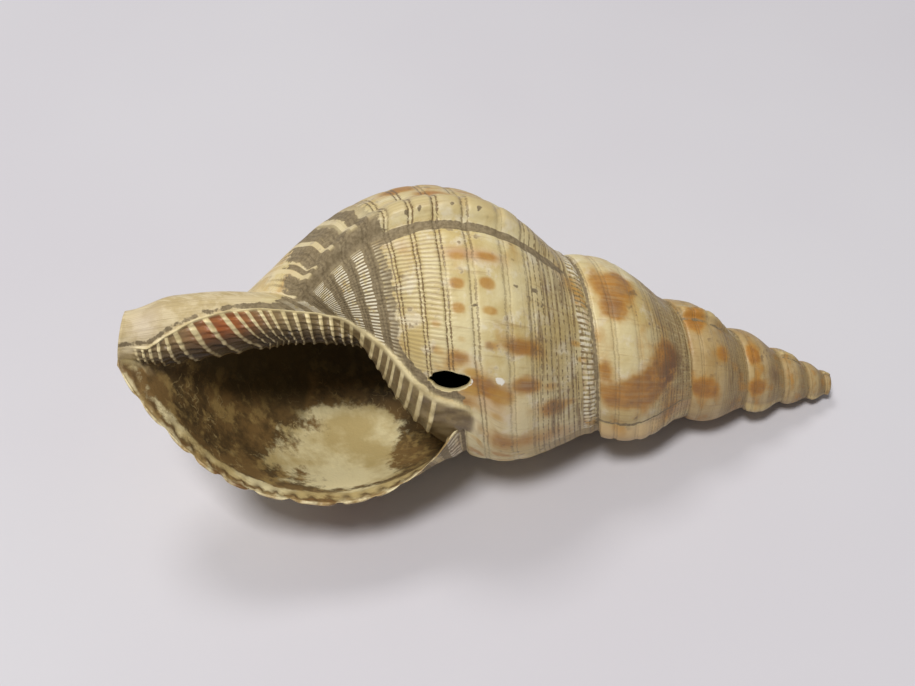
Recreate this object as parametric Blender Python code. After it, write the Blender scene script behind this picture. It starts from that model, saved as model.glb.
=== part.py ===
"""Old triton shell with a drilled side hole and a broken-off tip, lying aperture forward.

Everything is grown from one whorl outline.  A point of the outside is given by its growth
angle (degrees back from the outer lip) and by its distance from the apex along the axis.
Each full turn back shrinks the outline by GROWTH, which gives the whole spire.  The outside
is a closed solid; the spiral room inside and the side hole are cut out of it.

World frame: +X points to the tip of the spire, +Z up, the aperture faces -Y.
"""
import math

import bmesh
import bpy
import numpy as np

# Spiral, in metres and degrees
GROWTH = 1.46
SUTURE_AT_LIP = 0.195
CANAL_END = 0.3395
TURNS = 7
LIP_AZIMUTH = 62.0
TIP_STEP = 0.0022
SPIRE_LEAN = 0.14
BODY_LEAN = 0.25
CANAL_LEAN = 0.19

# Whorl outline, as shares of the distance from the apex to the suture
CROWN_RADIUS = 0.395
CROWN_PLACE = 1.35
SUTURE_RADIUS = 0.256
BASE_SPAN = 0.452

# Old lips (varices) stand every two thirds of a turn
VARIX_STEP = 240.0
VARIX_SHIFT = 4.0
VARIX_HEIGHT = 0.036
LIP_FLARE = 0.004
NOTCH_FLARE = 0.026
LIP_SCALLOP = 0.0006
CORD_HEIGHT = 0.0075
RIDGE_HEIGHT = 0.0013
CALLUS_HEIGHT = 0.0009
LIP_INDENT = 15.0
LIP_SHIFT = 0.0048

# Columella and siphonal canal
COLUMELLA_RADIUS = 0.0095
CANAL_RADIUS = 0.0137
CANAL_TIP_RADIUS = 0.0102
CANAL_SIDE_SHIFT = 0.018
CANAL_FRONT_SHIFT = 0.0035
CANAL_START = 0.249

# Room inside
WALL = 0.0032
ROOM_END = 560.0
ROOM_SIDES = 10

# Side hole
HOLE_ANGLE = 318.0
HOLE_PLACE = 0.2045
HOLE_HALF_LENGTH = 0.0086
HOLE_HALF_WIDTH = 0.0060
HOLE_DEPTH = 0.016

# Mesh steps
BASE_COLUMNS = 20
WHORL_COLUMNS = 8

# How the shell lies: the azimuth that faces the ground and the nose-down tilt of the axis
REST_AZIMUTH = 136.0
REST_TILT = 17.5


def smooth_step(low, high, value):
    """Go from 0 at low to 1 at high with level ends."""
    part = np.clip((np.asarray(value, float) - low) / (high - low), 0.0, 1.0)
    return part * part * (3.0 - 2.0 * part)


def suture(angle):
    """Distance from the apex to the suture at a growth angle."""
    return SUTURE_AT_LIP * GROWTH ** (-np.asarray(angle, float) / 360.0)


def outline(share):
    """Radius of the whorl outline: a hollow shoulder above the crown, a round base below it."""
    below = np.clip((share - CROWN_PLACE) / BASE_SPAN, 0.0, 1.0)
    base = CROWN_RADIUS * (1.0 - below ** 2.3) ** 0.77
    above = np.clip((share - 1.0) / (CROWN_PLACE - 1.0), 0.0, 1.0) ** 0.72
    shoulder = SUTURE_RADIUS + (CROWN_RADIUS - SUTURE_RADIUS) * above * above * (3.0 - 2.0 * above)
    return np.where(share > CROWN_PLACE, base, shoulder)


def azimuth(angle, share):
    """Direction around the axis; the middle of the lip edge lies further back than its ends."""
    bend = np.sin(np.pi * np.clip((share - 1.0) / 0.88, 0.0, 1.0)) ** 0.8
    back = LIP_INDENT * bend * np.exp(-np.clip(angle, 0.0, None) / 28.0)
    return np.radians(LIP_AZIMUTH + angle + back)


def varix(angle):
    """Height of the old lips: a slow rise on the newer side, a drop and a groove behind."""
    behind = (np.asarray(angle, float) - VARIX_SHIFT + 60.0) % VARIX_STEP - 60.0
    rise = smooth_step(-17.0, -3.0, behind) * (1.0 - smooth_step(0.5, 4.5, behind))
    groove = 0.16 * np.exp(-((behind - 6.5) / 2.4) ** 2)
    return np.where(angle > 60.0, rise - groove, 0.0)


def canal_middle(place):
    """Sideways shift of the canal from the axis, to the front and to the lip side."""
    part = np.clip((place - CANAL_START) / (CANAL_END - CANAL_START), 0.0, 1.05) ** 1.5
    return CANAL_FRONT_SHIFT * part, CANAL_SIDE_SHIFT * part


def columella(place):
    """Radius of the solid pillar that runs down into the canal."""
    swell = (CANAL_RADIUS - COLUMELLA_RADIUS) * smooth_step(0.262, 0.312, place)
    return COLUMELLA_RADIUS + swell - (CANAL_RADIUS - CANAL_TIP_RADIUS) * smooth_step(0.322, 0.338, place)


def grown_radius(angle, place, with_varix):
    """Radius of the coiled whorl alone, measured from the middle of the canal."""
    height = suture(angle)
    share = place / height
    radius = outline(share) * height
    if with_varix:
        fade = np.clip((1.86 - share) / 0.15, 0.0, 1.0)
        near_suture = smooth_step(1.0, 1.25, share)
        lift = VARIX_HEIGHT * varix(angle) + LIP_FLARE * (1.0 - smooth_step(0.0, 11.0, angle))
        notch = smooth_step(1.0, 1.06, share) * (1.0 - smooth_step(1.10, 1.38, share))
        notch = NOTCH_FLARE * notch * np.exp(-np.clip(angle, 0.0, None) / 16.0)
        radius = radius + (lift * fade * near_suture + notch) * height
    front, side = canal_middle(place)
    turn = azimuth(angle, share)
    radius = radius - front * np.cos(turn) - side * np.sin(turn)
    return np.where(share < CROWN_PLACE + BASE_SPAN, np.clip(radius, 0.0, None), 0.0)


def blend(first, second):
    """The larger of two radii, with a rounded change from one to the other."""
    return (first ** 5 + second ** 5) ** 0.2


def outside_radius(angle, place, with_varix=True):
    """Radius of the outside: the whorl joined with the pillar."""
    whorl = grown_radius(angle, place, with_varix)
    pillar = columella(place) * smooth_step(0.150, 0.225, place)
    return np.where(place < 0.150, whorl, blend(whorl, pillar))


def lean(place):
    """How far the coils lean towards the tip on the back, more on the last whorl."""
    body = (BODY_LEAN - SPIRE_LEAN) * smooth_step(0.10, 0.16, place)
    return SPIRE_LEAN + body - (BODY_LEAN - CANAL_LEAN) * smooth_step(0.175, 0.265, place)


def to_shell(angle, place, radius):
    """Points in shell axes: towards the apex, towards the front, towards the lip side."""
    turn = azimuth(angle, place / suture(angle))
    front, side = canal_middle(place)
    share = place / suture(angle)
    on_lip = smooth_step(1.0, 1.2, share) * smooth_step(CANAL_END, CANAL_END - 0.03, place)
    late = LIP_SHIFT * np.exp(-np.clip(angle, 0.0, None) / 45.0) * on_lip
    along = late - place - lean(place) * radius * np.cos(turn)
    return np.stack([along, radius * np.cos(turn) + front, radius * np.sin(turn) + side], -1)


def to_world(points):
    """Turn shell axes into the resting position, still without the last shift."""
    roll = math.radians(REST_AZIMUTH)
    tilt = math.radians(REST_TILT)
    down = points[..., 1] * math.cos(roll) + points[..., 2] * math.sin(roll)
    across = -points[..., 1] * math.sin(roll) + points[..., 2] * math.cos(roll)
    x = points[..., 0] * math.cos(tilt) - down * math.sin(tilt)
    z = -points[..., 0] * math.sin(tilt) - down * math.cos(tilt)
    return np.stack([x, across, z], -1)


def growth_rows():
    """Growth angles of the rows, close together at the lip and at the two old lips."""
    rows = [0.0, 2.0, 5.0, 9.0, 16.0, 26.0, 36.0, 46.0, 56.0]
    foot = REST_AZIMUTH - LIP_AZIMUTH + 3.4
    rows += [foot - 11.0, foot + 11.0, 98.0]
    for middle in (120.0 + VARIX_SHIFT, 240.0 + VARIX_SHIFT):
        if middle > 200.0:
            rows += list(np.linspace(rows[-1], middle - 17.0, 9)[1:-1])
        rows.append(middle - 17.0)
        rows += [middle + step for step in (-11.0, -6.0, -2.0, 1.0, 4.0, 7.5, 12.0)]
    rows += list(np.linspace(rows[-1], 343.0, 9)[1:])
    rows += [349.0, 355.0, 360.0]
    return rows


def outside_row(angle):
    """Growth angle and place of each point of one row, from the canal end to the tip."""
    angles = []
    places = []
    for step in range(BASE_COLUMNS):
        part = step / BASE_COLUMNS
        angles.append(angle)
        places.append(CANAL_END + (GROWTH * suture(angle) - CANAL_END) * part)
    last_start = suture(360.0 * (TURNS - 1))
    for turn in range(TURNS):
        grown = angle + 360.0 * turn
        top = suture(grown)
        if turn == TURNS - 1:
            top = last_start - TIP_STEP * angle / 360.0
        bottom = GROWTH * suture(grown)
        for step in range(WHORL_COLUMNS):
            angles.append(grown)
            places.append(bottom + (top - bottom) * step / WHORL_COLUMNS)
    angles.append(angle + 360.0 * (TURNS - 1))
    places.append(last_start - TIP_STEP * angle / 360.0)
    return np.array(angles), np.array(places)


def relief(angle, place, count):
    """Cords of the outside and the stronger ridges on the inner lip, point by point."""
    height = suture(angle)
    column = np.arange(count)
    crest = np.where(column % 2 == 0, -1.0, 1.0)
    cords = 0.5 * CORD_HEIGHT * height * crest * smooth_step(1.0, 1.03, place / height)
    on_face = smooth_step(283.0, 300.0, angle) * (angle <= 360.0) * (column < BASE_COLUMNS)
    rim = 288.0 + 60.0 * smooth_step(0.262, 0.186, place)
    callus = smooth_step(rim - 4.0, rim + 4.0, angle) * on_face
    ridges = RIDGE_HEIGHT * crest * callus
    out_of_canal = smooth_step(CANAL_END, CANAL_END - 0.012, place)
    scallop = LIP_SCALLOP * crest * (1.0 - smooth_step(0.0, 14.0, angle))
    base_fade = np.where(column < 2, 0.0, 1.0)
    return (cords * (1.0 - callus) + scallop) * base_fade + (ridges + CALLUS_HEIGHT * callus) * out_of_canal


def mesh_object(name, points, faces, collection):
    """Make an object from points in shell axes and make its faces look outwards."""
    mesh = bpy.data.meshes.new(name)
    mesh.from_pydata([tuple(point) for point in to_world(np.asarray(points))], [], faces)
    made = bpy.data.objects.new(name, mesh)
    collection.objects.link(made)
    shape = bmesh.new()
    shape.from_mesh(mesh)
    bmesh.ops.triangulate(shape, faces=shape.faces[:])
    bmesh.ops.recalc_face_normals(shape, faces=shape.faces[:])
    if shape.calc_volume(signed=True) < 0.0:
        bmesh.ops.reverse_faces(shape, faces=shape.faces[:])
    shape.to_mesh(mesh)
    shape.free()
    return made


def build_outside(collection):
    """The closed outside: rows round the axis, the flat of the lip, the canal end and the tip."""
    rows = growth_rows()
    points = []
    index = []
    for number, angle in enumerate(rows):
        angles, places = outside_row(angle)
        count = len(places)
        radii = outside_radius(angles, places) + relief(angles, places, count)
        grid = to_shell(angles, places, radii)
        if number == len(rows) - 1:
            names = []
            for column in range(BASE_COLUMNS):
                names.append(len(points))
                points.append(grid[column])
            names += index[0][BASE_COLUMNS + WHORL_COLUMNS:]
            for column in range(len(names), count):
                names.append(len(points))
                points.append(grid[column])
        else:
            names = list(range(len(points), len(points) + count))
            points += list(grid)
        index.append(names)
    faces = []
    for first, second in zip(index, index[1:]):
        for column in range(len(first) - 1):
            faces.append((first[column], first[column + 1], second[column + 1], second[column]))
    faces += lip_flat(index[-1][:BASE_COLUMNS + 1], index[0][:BASE_COLUMNS + WHORL_COLUMNS + 1], points)
    front, side = canal_middle(CANAL_END)
    points.append(np.array([-CANAL_END, front, side]))
    faces += fan([names[0] for names in index], len(points) - 1)
    tip = [names[-1] for names in index] + index[-1][-WHORL_COLUMNS - 1:-1][::-1]
    points.append(np.mean([points[name] for name in tip[:-1]], axis=0))
    faces += fan(tip[:-1], len(points) - 1)
    return mesh_object("triton_shell", points, faces, collection)


def fan(loop, middle):
    """Triangles from a closed loop to one middle point."""
    return [(loop[i], loop[(i + 1) % len(loop)], middle) for i in range(len(loop))]


def lip_flat(inner, outer, points):
    """Triangles between the inner and the outer edge of the lip, which share their last point."""
    faces = []
    i = 0
    j = 0
    while i < len(inner) - 1 or j < len(outer) - 1:
        take_outer = i == len(inner) - 1
        if not take_outer and j < len(outer) - 1:
            take_outer = points[outer[j + 1]][0] < points[inner[i + 1]][0]
        if take_outer:
            face = (inner[i], outer[j], outer[j + 1])
            j += 1
        else:
            face = (inner[i], outer[j], inner[i + 1])
            i += 1
        if len(set(face)) == 3:
            faces.append(face)
    return faces


def room_ring(angle):
    """One closed outline of the room inside, at a growth angle."""
    grown = max(angle, 0.0)
    height = float(suture(grown))
    wall = WALL * GROWTH ** (-grown / 360.0)
    shares = np.linspace(1.035, 1.815, ROOM_SIDES)
    fine = np.linspace(1.0, 1.87, 240)
    radii = grown_radius(np.full(240, grown), fine * height, False)
    slope = np.gradient(radii, fine * height)
    radius = np.interp(shares, fine, radii)
    slope = np.interp(shares, fine, slope)
    length = np.sqrt(1.0 + slope ** 2)
    outer_place = shares * height + wall * slope / length
    outer_radius = radius - wall / length
    ahead = max(-angle, 0.0)
    outer_radius = outer_radius * (1.0 + 0.006 * ahead) + 0.0002 * ahead
    inner_place = outer_place[::-1]
    lift = 0.0006 - 0.0014 * math.exp(-grown / 9.0) + 0.0002 * ahead + 0.00001 * ahead ** 2
    behind = grown_radius(np.full(ROOM_SIDES, angle + 360.0), inner_place, False)
    pillar = columella(inner_place) * GROWTH ** (-0.75 * grown / 360.0)
    inner_radius = blend(behind, pillar) + lift
    gap = 0.0016 * GROWTH ** (-grown / 360.0)
    outer_radius = np.maximum(outer_radius, inner_radius[::-1] + gap)
    angles = np.full(2 * ROOM_SIDES, grown)
    ring = to_shell(angles, np.concatenate([outer_place, inner_place]),
                    np.concatenate([outer_radius, inner_radius]))
    return turn_back(ring, ahead)


def turn_back(points, degrees):
    """Turn points about the axis towards newer growth."""
    turn = math.radians(-degrees)
    front = points[..., 1] * math.cos(turn) - points[..., 2] * math.sin(turn)
    side = points[..., 1] * math.sin(turn) + points[..., 2] * math.cos(turn)
    along = points[..., 0] + BODY_LEAN * (points[..., 1] - front)
    return np.stack([along, front, side], -1)


def build_room(collection):
    """The spiral room: a tube that shrinks as it winds up the spire."""
    angles = [-34.0, -22.0, -13.0, -6.0, 0.0, 6.0, 13.0, 22.0, 34.0, 48.0, 62.0, 76.0, 90.0, 104.0]
    angles += list(np.linspace(120.0, ROOM_END, 24))
    points = []
    faces = []
    size = 2 * ROOM_SIDES
    for number, angle in enumerate(angles):
        points += list(room_ring(angle))
        if number:
            start = size * (number - 1)
            for side in range(size):
                after = (side + 1) % size
                faces.append((start + side, start + after, start + size + after, start + size + side))
    for first in (0, size * (len(angles) - 1)):
        points.append(np.mean(points[first:first + size], axis=0))
        faces += fan(list(range(first, first + size)), len(points) - 1)
    return mesh_object("room_cutter", points, faces, collection)


def build_hole(collection):
    """A short oval peg square to the wall for the side hole."""
    angle = np.array([HOLE_ANGLE, HOLE_ANGLE + 2.0, HOLE_ANGLE])
    place = np.array([HOLE_PLACE, HOLE_PLACE, HOLE_PLACE + 0.004])
    spots = to_shell(angle, place, outside_radius(angle, place))
    round_way = spots[1] - spots[0]
    along_way = spots[2] - spots[0]
    normal = np.cross(round_way, along_way)
    normal /= np.linalg.norm(normal)
    if normal[1] < 0.0:
        normal = -normal
    along_way /= np.linalg.norm(along_way)
    round_way = np.cross(normal, along_way)
    turns = np.linspace(0.0, 2.0 * math.pi, 17)[:-1]
    points = []
    for depth, wide in ((0.006, 1.12), (-0.0005, 1.0), (-HOLE_DEPTH, 0.96)):
        for turn in turns:
            points.append(spots[0] + normal * depth
                          + along_way * HOLE_HALF_LENGTH * wide * math.cos(turn)
                          + round_way * HOLE_HALF_WIDTH * wide * math.sin(turn))
    faces = []
    for level in range(2):
        for side in range(16):
            after = (side + 1) % 16
            faces.append((16 * level + side, 16 * level + after, 16 * level + 16 + after, 16 * level + 16 + side))
    faces.append(tuple(range(16)))
    faces.append(tuple(range(32, 48)))
    return mesh_object("hole_cutter", points, faces, collection)


def cut(target, cutter, name):
    """Cut one object out of another with a live Boolean."""
    modifier = target.modifiers.new(name, "BOOLEAN")
    modifier.operation = "DIFFERENCE"
    modifier.solver = "EXACT"
    modifier.object = cutter


def shell_material():
    """Worn cream shell with a soft sheen."""
    material = bpy.data.materials.new("worn_shell")
    material.use_nodes = True
    surface = material.node_tree.nodes["Principled BSDF"]
    surface.inputs["Base Color"].default_value = (0.60, 0.49, 0.34, 1.0)
    surface.inputs["Roughness"].default_value = 0.45
    return material


def main():
    """Build the shell and set it on the ground with its middle over the origin."""
    for old in list(bpy.data.objects):
        bpy.data.objects.remove(old, do_unlink=True)
    kept = bpy.data.collections.new("triton_shell")
    cutters = bpy.data.collections.new("cutters")
    bpy.context.scene.collection.children.link(kept)
    bpy.context.scene.collection.children.link(cutters)
    shell = build_outside(kept)
    room = build_room(cutters)
    hole = build_hole(cutters)
    for cutter in (room, hole):
        cutter.hide_render = True
        cutter.display_type = "WIRE"
    corners = np.array([vertex.co for vertex in shell.data.vertices])
    low = corners.min(axis=0)
    high = corners.max(axis=0)
    shift = np.array([(low[0] + high[0]) / 2.0, (low[1] + high[1]) / 2.0, low[2]])
    for item in (shell, room, hole):
        for vertex in item.data.vertices:
            vertex.co = vertex.co - type(vertex.co)(shift)
        item.data.update()
    cut(shell, room, "Room inside")
    cut(shell, hole, "Side hole")
    shell.data.materials.append(shell_material())
    for face in shell.data.polygons:
        face.use_smooth = True


main()
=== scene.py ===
"""Old triton shell with a drilled side hole, grown from one whorl outline.

A point of the shell is given by its growth angle, in degrees back from the outer lip, and by
its place, the distance from the tip along the axis.  The share is the place divided by the
distance from the tip to the suture at that angle, so a spiral cord keeps one share for the
whole length of the spire.  The outside, the rim of the lip and the room inside are one closed
surface.
"""
import logging
import math
from dataclasses import dataclass, field
from enum import Enum
from functools import reduce
from operator import mul

import bmesh
import bpy
import numpy as np
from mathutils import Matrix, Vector


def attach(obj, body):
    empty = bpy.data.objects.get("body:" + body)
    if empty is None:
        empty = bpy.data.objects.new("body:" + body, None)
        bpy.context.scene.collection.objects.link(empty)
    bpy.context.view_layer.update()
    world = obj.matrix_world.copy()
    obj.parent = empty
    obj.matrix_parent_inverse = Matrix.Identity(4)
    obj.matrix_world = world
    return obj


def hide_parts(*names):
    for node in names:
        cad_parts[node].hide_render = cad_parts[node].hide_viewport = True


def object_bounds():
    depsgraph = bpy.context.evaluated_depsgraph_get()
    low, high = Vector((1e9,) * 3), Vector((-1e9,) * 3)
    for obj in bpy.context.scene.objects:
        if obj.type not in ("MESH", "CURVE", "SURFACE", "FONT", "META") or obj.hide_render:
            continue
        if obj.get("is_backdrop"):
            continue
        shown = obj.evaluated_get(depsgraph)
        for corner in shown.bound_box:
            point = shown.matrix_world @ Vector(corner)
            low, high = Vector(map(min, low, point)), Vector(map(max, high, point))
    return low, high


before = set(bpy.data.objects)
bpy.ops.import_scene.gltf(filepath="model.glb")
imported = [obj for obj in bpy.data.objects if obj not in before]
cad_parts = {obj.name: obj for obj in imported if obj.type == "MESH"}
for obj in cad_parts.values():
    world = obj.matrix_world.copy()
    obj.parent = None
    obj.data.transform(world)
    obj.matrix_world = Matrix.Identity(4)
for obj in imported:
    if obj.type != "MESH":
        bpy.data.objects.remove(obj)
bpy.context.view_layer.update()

LOG = logging.getLogger("triton_shell")
Array = np.ndarray


def rise(low: float | Array, high: float | Array, value: float | Array) -> Array:
    """Go from 0 at low to 1 at high with level ends.

    Args:
        low: Value where the step starts.
        high: Value where the step ends; it may be below low.
        value: Numbers to be stepped.

    Returns:
        Numbers from 0 to 1.
    """
    part = np.clip((np.asarray(value, float) - low) / (np.asarray(high, float) - low), 0.0, 1.0)
    return part * part * (3.0 - 2.0 * part)


def fall(low: float | Array, high: float | Array, value: float | Array) -> Array:
    """Return the reverse of rise, from 1 at low to 0 at high."""
    return 1.0 - rise(low, high, value)


def fading(angle: Array, length: float) -> Array:
    """Return exp(-angle / length), and 1 ahead of the lip."""
    return np.exp(-np.clip(angle, 0.0, None) / length)


def spaced(*spans: tuple[float, float, float]) -> Array:
    """Return numbers along joined spans, each given by its start, its end and its step."""
    parts = [np.linspace(low, high, round((high - low) / step), endpoint=False)
             for low, high, step in spans]
    return np.concatenate([*parts, [spans[-1][1]]])


def bell(value: Array, middle: float | Array, width: float | Array) -> Array:
    """Return a bell curve of height 1 at middle, exp(-((value - middle) / width) ** 2)."""
    return np.exp(-(((np.asarray(value, float) - middle) / width) ** 2))


def ripple(first: Array, second: Array, seed: int) -> Array:
    """Smooth uneven waves between about -1 and 1: a sum of eight slanted sine waves.

    Args:
        first: First coordinate, where one wave is about one unit long.
        second: Second coordinate, in the same unit.
        seed: Seed of the wave directions and starts.

    Returns:
        The height of the waves at each point.
    """
    draw = np.random.default_rng(seed)
    total = np.zeros_like(np.asarray(first, float))
    for _ in range(8):
        turn, start, length = draw.uniform(0.0, 2.0 * math.pi, 3) * (1.0, 1.0, 0.16)
        across = first * math.cos(turn) + second * math.sin(turn)
        total = total + np.sin(across * 2.0 * math.pi / (0.7 + length) + start)
    return total / 3.0


@dataclass(frozen=True)
class ShellForm:
    """Sizes and growth law of the shell, in metres and degrees."""

    growth: float = 1.46
    suture_at_lip: float = 0.195
    canal_end: float = 0.3395
    turns: int = 7
    lip_azimuth: float = 62.0
    tip_step: float = 0.0022
    spire_lean: float = 0.14
    body_lean: float = 0.25
    canal_lean: float = 0.19
    crown_radius: float = 0.395
    crown_place: float = 1.35
    suture_radius: float = 0.256
    base_span: float = 0.452
    varix_step: float = 240.0
    varix_shift: float = 4.0
    varix_height: float = 0.036
    lip_flare: float = 0.004
    notch_flare: float = 0.026
    lip_indent: float = 15.0
    lip_shift: float = 0.0048
    columella_radius: float = 0.0095
    canal_radius: float = 0.0137
    canal_tip_radius: float = 0.0102
    canal_side_shift: float = 0.018
    canal_front_shift: float = 0.0035
    canal_start: float = 0.249
    notch_turn: float = 15.0
    rest_azimuth: float = 136.0
    rest_tilt: float = 17.5
    ground_shift: tuple[float, float, float] = (-0.1728022, -0.0019358, -0.0003541)

    def suture(self, angle: Array) -> Array:
        """Return the distance from the tip to the suture, shrinking by growth each turn."""
        return self.suture_at_lip * self.growth ** (-np.asarray(angle, float) / 360.0)

    def outline(self, share: Array) -> Array:
        """Radius of the whorl: a hollow shoulder above the crown, a round base below it.

        Args:
            share: Places as shares of the suture's distance.

        Returns:
            Radii as shares of the suture's distance.
        """
        below = np.clip((share - self.crown_place) / self.base_span, 0.0, 1.0)
        base = self.crown_radius * (1.0 - below ** 2.3) ** 0.77
        above = np.clip((share - 1.0) / (self.crown_place - 1.0), 0.0, 1.0) ** 0.72
        gain = self.crown_radius - self.suture_radius
        shoulder = self.suture_radius + gain * above * above * (3.0 - 2.0 * above)
        return np.where(share > self.crown_place, base, shoulder)

    def azimuth(self, angle: Array, share: Array) -> Array:
        """Direction around the axis; the middle of the lip edge lies further back.

        Args:
            angle: Growth angles.
            share: Places as shares.

        Returns:
            Angles around the axis in radians, 0 towards the front.
        """
        bend = np.sin(np.pi * np.clip((share - 1.0) / 0.88, 0.0, 1.0)) ** 0.8
        back = self.lip_indent * bend * fading(angle, 28.0)
        return np.radians(self.lip_azimuth + angle + back)

    def behind_varix(self, angle: Array) -> Array:
        """Return degrees behind the nearest old lip, from -60 to 180."""
        return (np.asarray(angle, float) - self.varix_shift + 60.0) % self.varix_step - 60.0

    def varix(self, angle: Array) -> Array:
        """Old lips: a slow rise on the newer side, a drop and a groove behind.

        Args:
            angle: Growth angles.

        Returns:
            Heights from about -0.16 to 1.
        """
        behind = self.behind_varix(angle)
        ridge = rise(-17.0, -3.0, behind) * fall(0.5, 4.5, behind)
        groove = 0.16 * bell(behind, 6.5, 2.4)
        return np.where(angle > 60.0, ridge - groove, 0.0)

    def canal_middle(self, place: Array) -> tuple[Array, Array]:
        """Return the canal's shift from the axis, to the front and to the lip side."""
        span = self.canal_end - self.canal_start
        part = np.clip((place - self.canal_start) / span, 0.0, 1.05) ** 1.5
        return self.canal_front_shift * part, self.canal_side_shift * part

    def columella(self, place: Array) -> Array:
        """Return the radius of the solid pillar that runs down into the canal."""
        swell = (self.canal_radius - self.columella_radius) * rise(0.262, 0.312, place)
        taper = (self.canal_radius - self.canal_tip_radius) * rise(0.322, 0.338, place)
        return self.columella_radius + swell - taper

    def whorl_radius(self, angle: Array, place: Array, with_varix: bool = True) -> Array:
        """Radius of the coiled whorl alone, measured from the middle of the canal.

        Args:
            angle: Growth angles.
            place: Distances from the tip.
            with_varix: Whether old lips, the lip's flare and its notch are added.

        Returns:
            Radii in metres, 0 past the end of the whorl's base.
        """
        height = self.suture(angle)
        share = place / height
        radius = self.outline(share) * height
        if with_varix:
            fade = np.clip((1.86 - share) / 0.15, 0.0, 1.0)
            near_suture = rise(1.0, 1.25, share)
            lift = self.varix_height * self.varix(angle)
            lift = lift + self.lip_flare * fall(0.0, 11.0, angle)
            notch = rise(1.0, 1.06, share) * fall(1.10, 1.38, share)
            notch = self.notch_flare * notch * fading(angle, 16.0)
            radius = radius + (lift * fade * near_suture + notch) * height
        front, side = self.canal_middle(place)
        turn = self.azimuth(angle, share)
        radius = radius - front * np.cos(turn) - side * np.sin(turn)
        inside = share < self.crown_place + self.base_span
        return np.where(inside, np.clip(radius, 0.0, None), 0.0)

    def outside_radius(self, angle: Array, place: Array, with_varix: bool = True) -> Array:
        """Radius of the outside: the larger of whorl and pillar, with a rounded change.

        Args:
            angle: Growth angles.
            place: Distances from the tip.
            with_varix: Whether old lips are added.

        Returns:
            Radii in metres.
        """
        whorl = self.whorl_radius(angle, place, with_varix)
        pillar = self.columella(place) * rise(0.150, 0.225, place)
        return np.where(place < 0.150, whorl, (whorl ** 5 + pillar ** 5) ** 0.2)

    def lean(self, place: Array) -> Array:
        """Return how far the coils lean to the tip on the back, more on the last whorl."""
        body = (self.body_lean - self.spire_lean) * rise(0.10, 0.16, place)
        canal = (self.body_lean - self.canal_lean) * rise(0.175, 0.265, place)
        return self.spire_lean + body - canal

    def place_points(self, angle: Array, place: Array, radius: Array) -> Array:
        """Points of the shell in the resting position.

        A point stands at its azimuth and radius round the axis, its place is pushed towards
        the tip by lean times the radius on the back, and the lip by a small shift.  The axis
        is then turned so that rest_azimuth faces the ground and is tilted by rest_tilt.

        Args:
            angle: Growth angles.
            place: Distances from the tip.
            radius: Radii round the middle of the canal.

        Returns:
            World points with the last axis for x, y and z.
        """
        share = place / self.suture(angle)
        turn = self.azimuth(angle, share)
        past = (np.degrees(turn) - self.lip_azimuth + 180.0) % 360.0 - 180.0
        on_notch = bell(past, 0.0, 32.0) * bell(place, 0.194, 0.013)
        turn = turn - np.radians(self.notch_turn) * on_notch
        front, side = self.canal_middle(place)
        on_lip = rise(1.0, 1.2, share)
        on_lip = on_lip * rise(self.canal_end, self.canal_end - 0.03, place)
        late = self.lip_shift * fading(angle, 45.0) * on_lip
        along = late - place - self.lean(place) * radius * np.cos(turn)
        forward = radius * np.cos(turn) + front
        sideways = radius * np.sin(turn) + side
        roll = math.radians(self.rest_azimuth)
        tilt = math.radians(self.rest_tilt)
        down = forward * math.cos(roll) + sideways * math.sin(roll)
        across = -forward * math.sin(roll) + sideways * math.cos(roll)
        x = along * math.cos(tilt) - down * math.sin(tilt)
        z = -along * math.sin(tilt) - down * math.cos(tilt)
        return np.stack([x, across, z], -1) - np.array(self.ground_shift)


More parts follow.
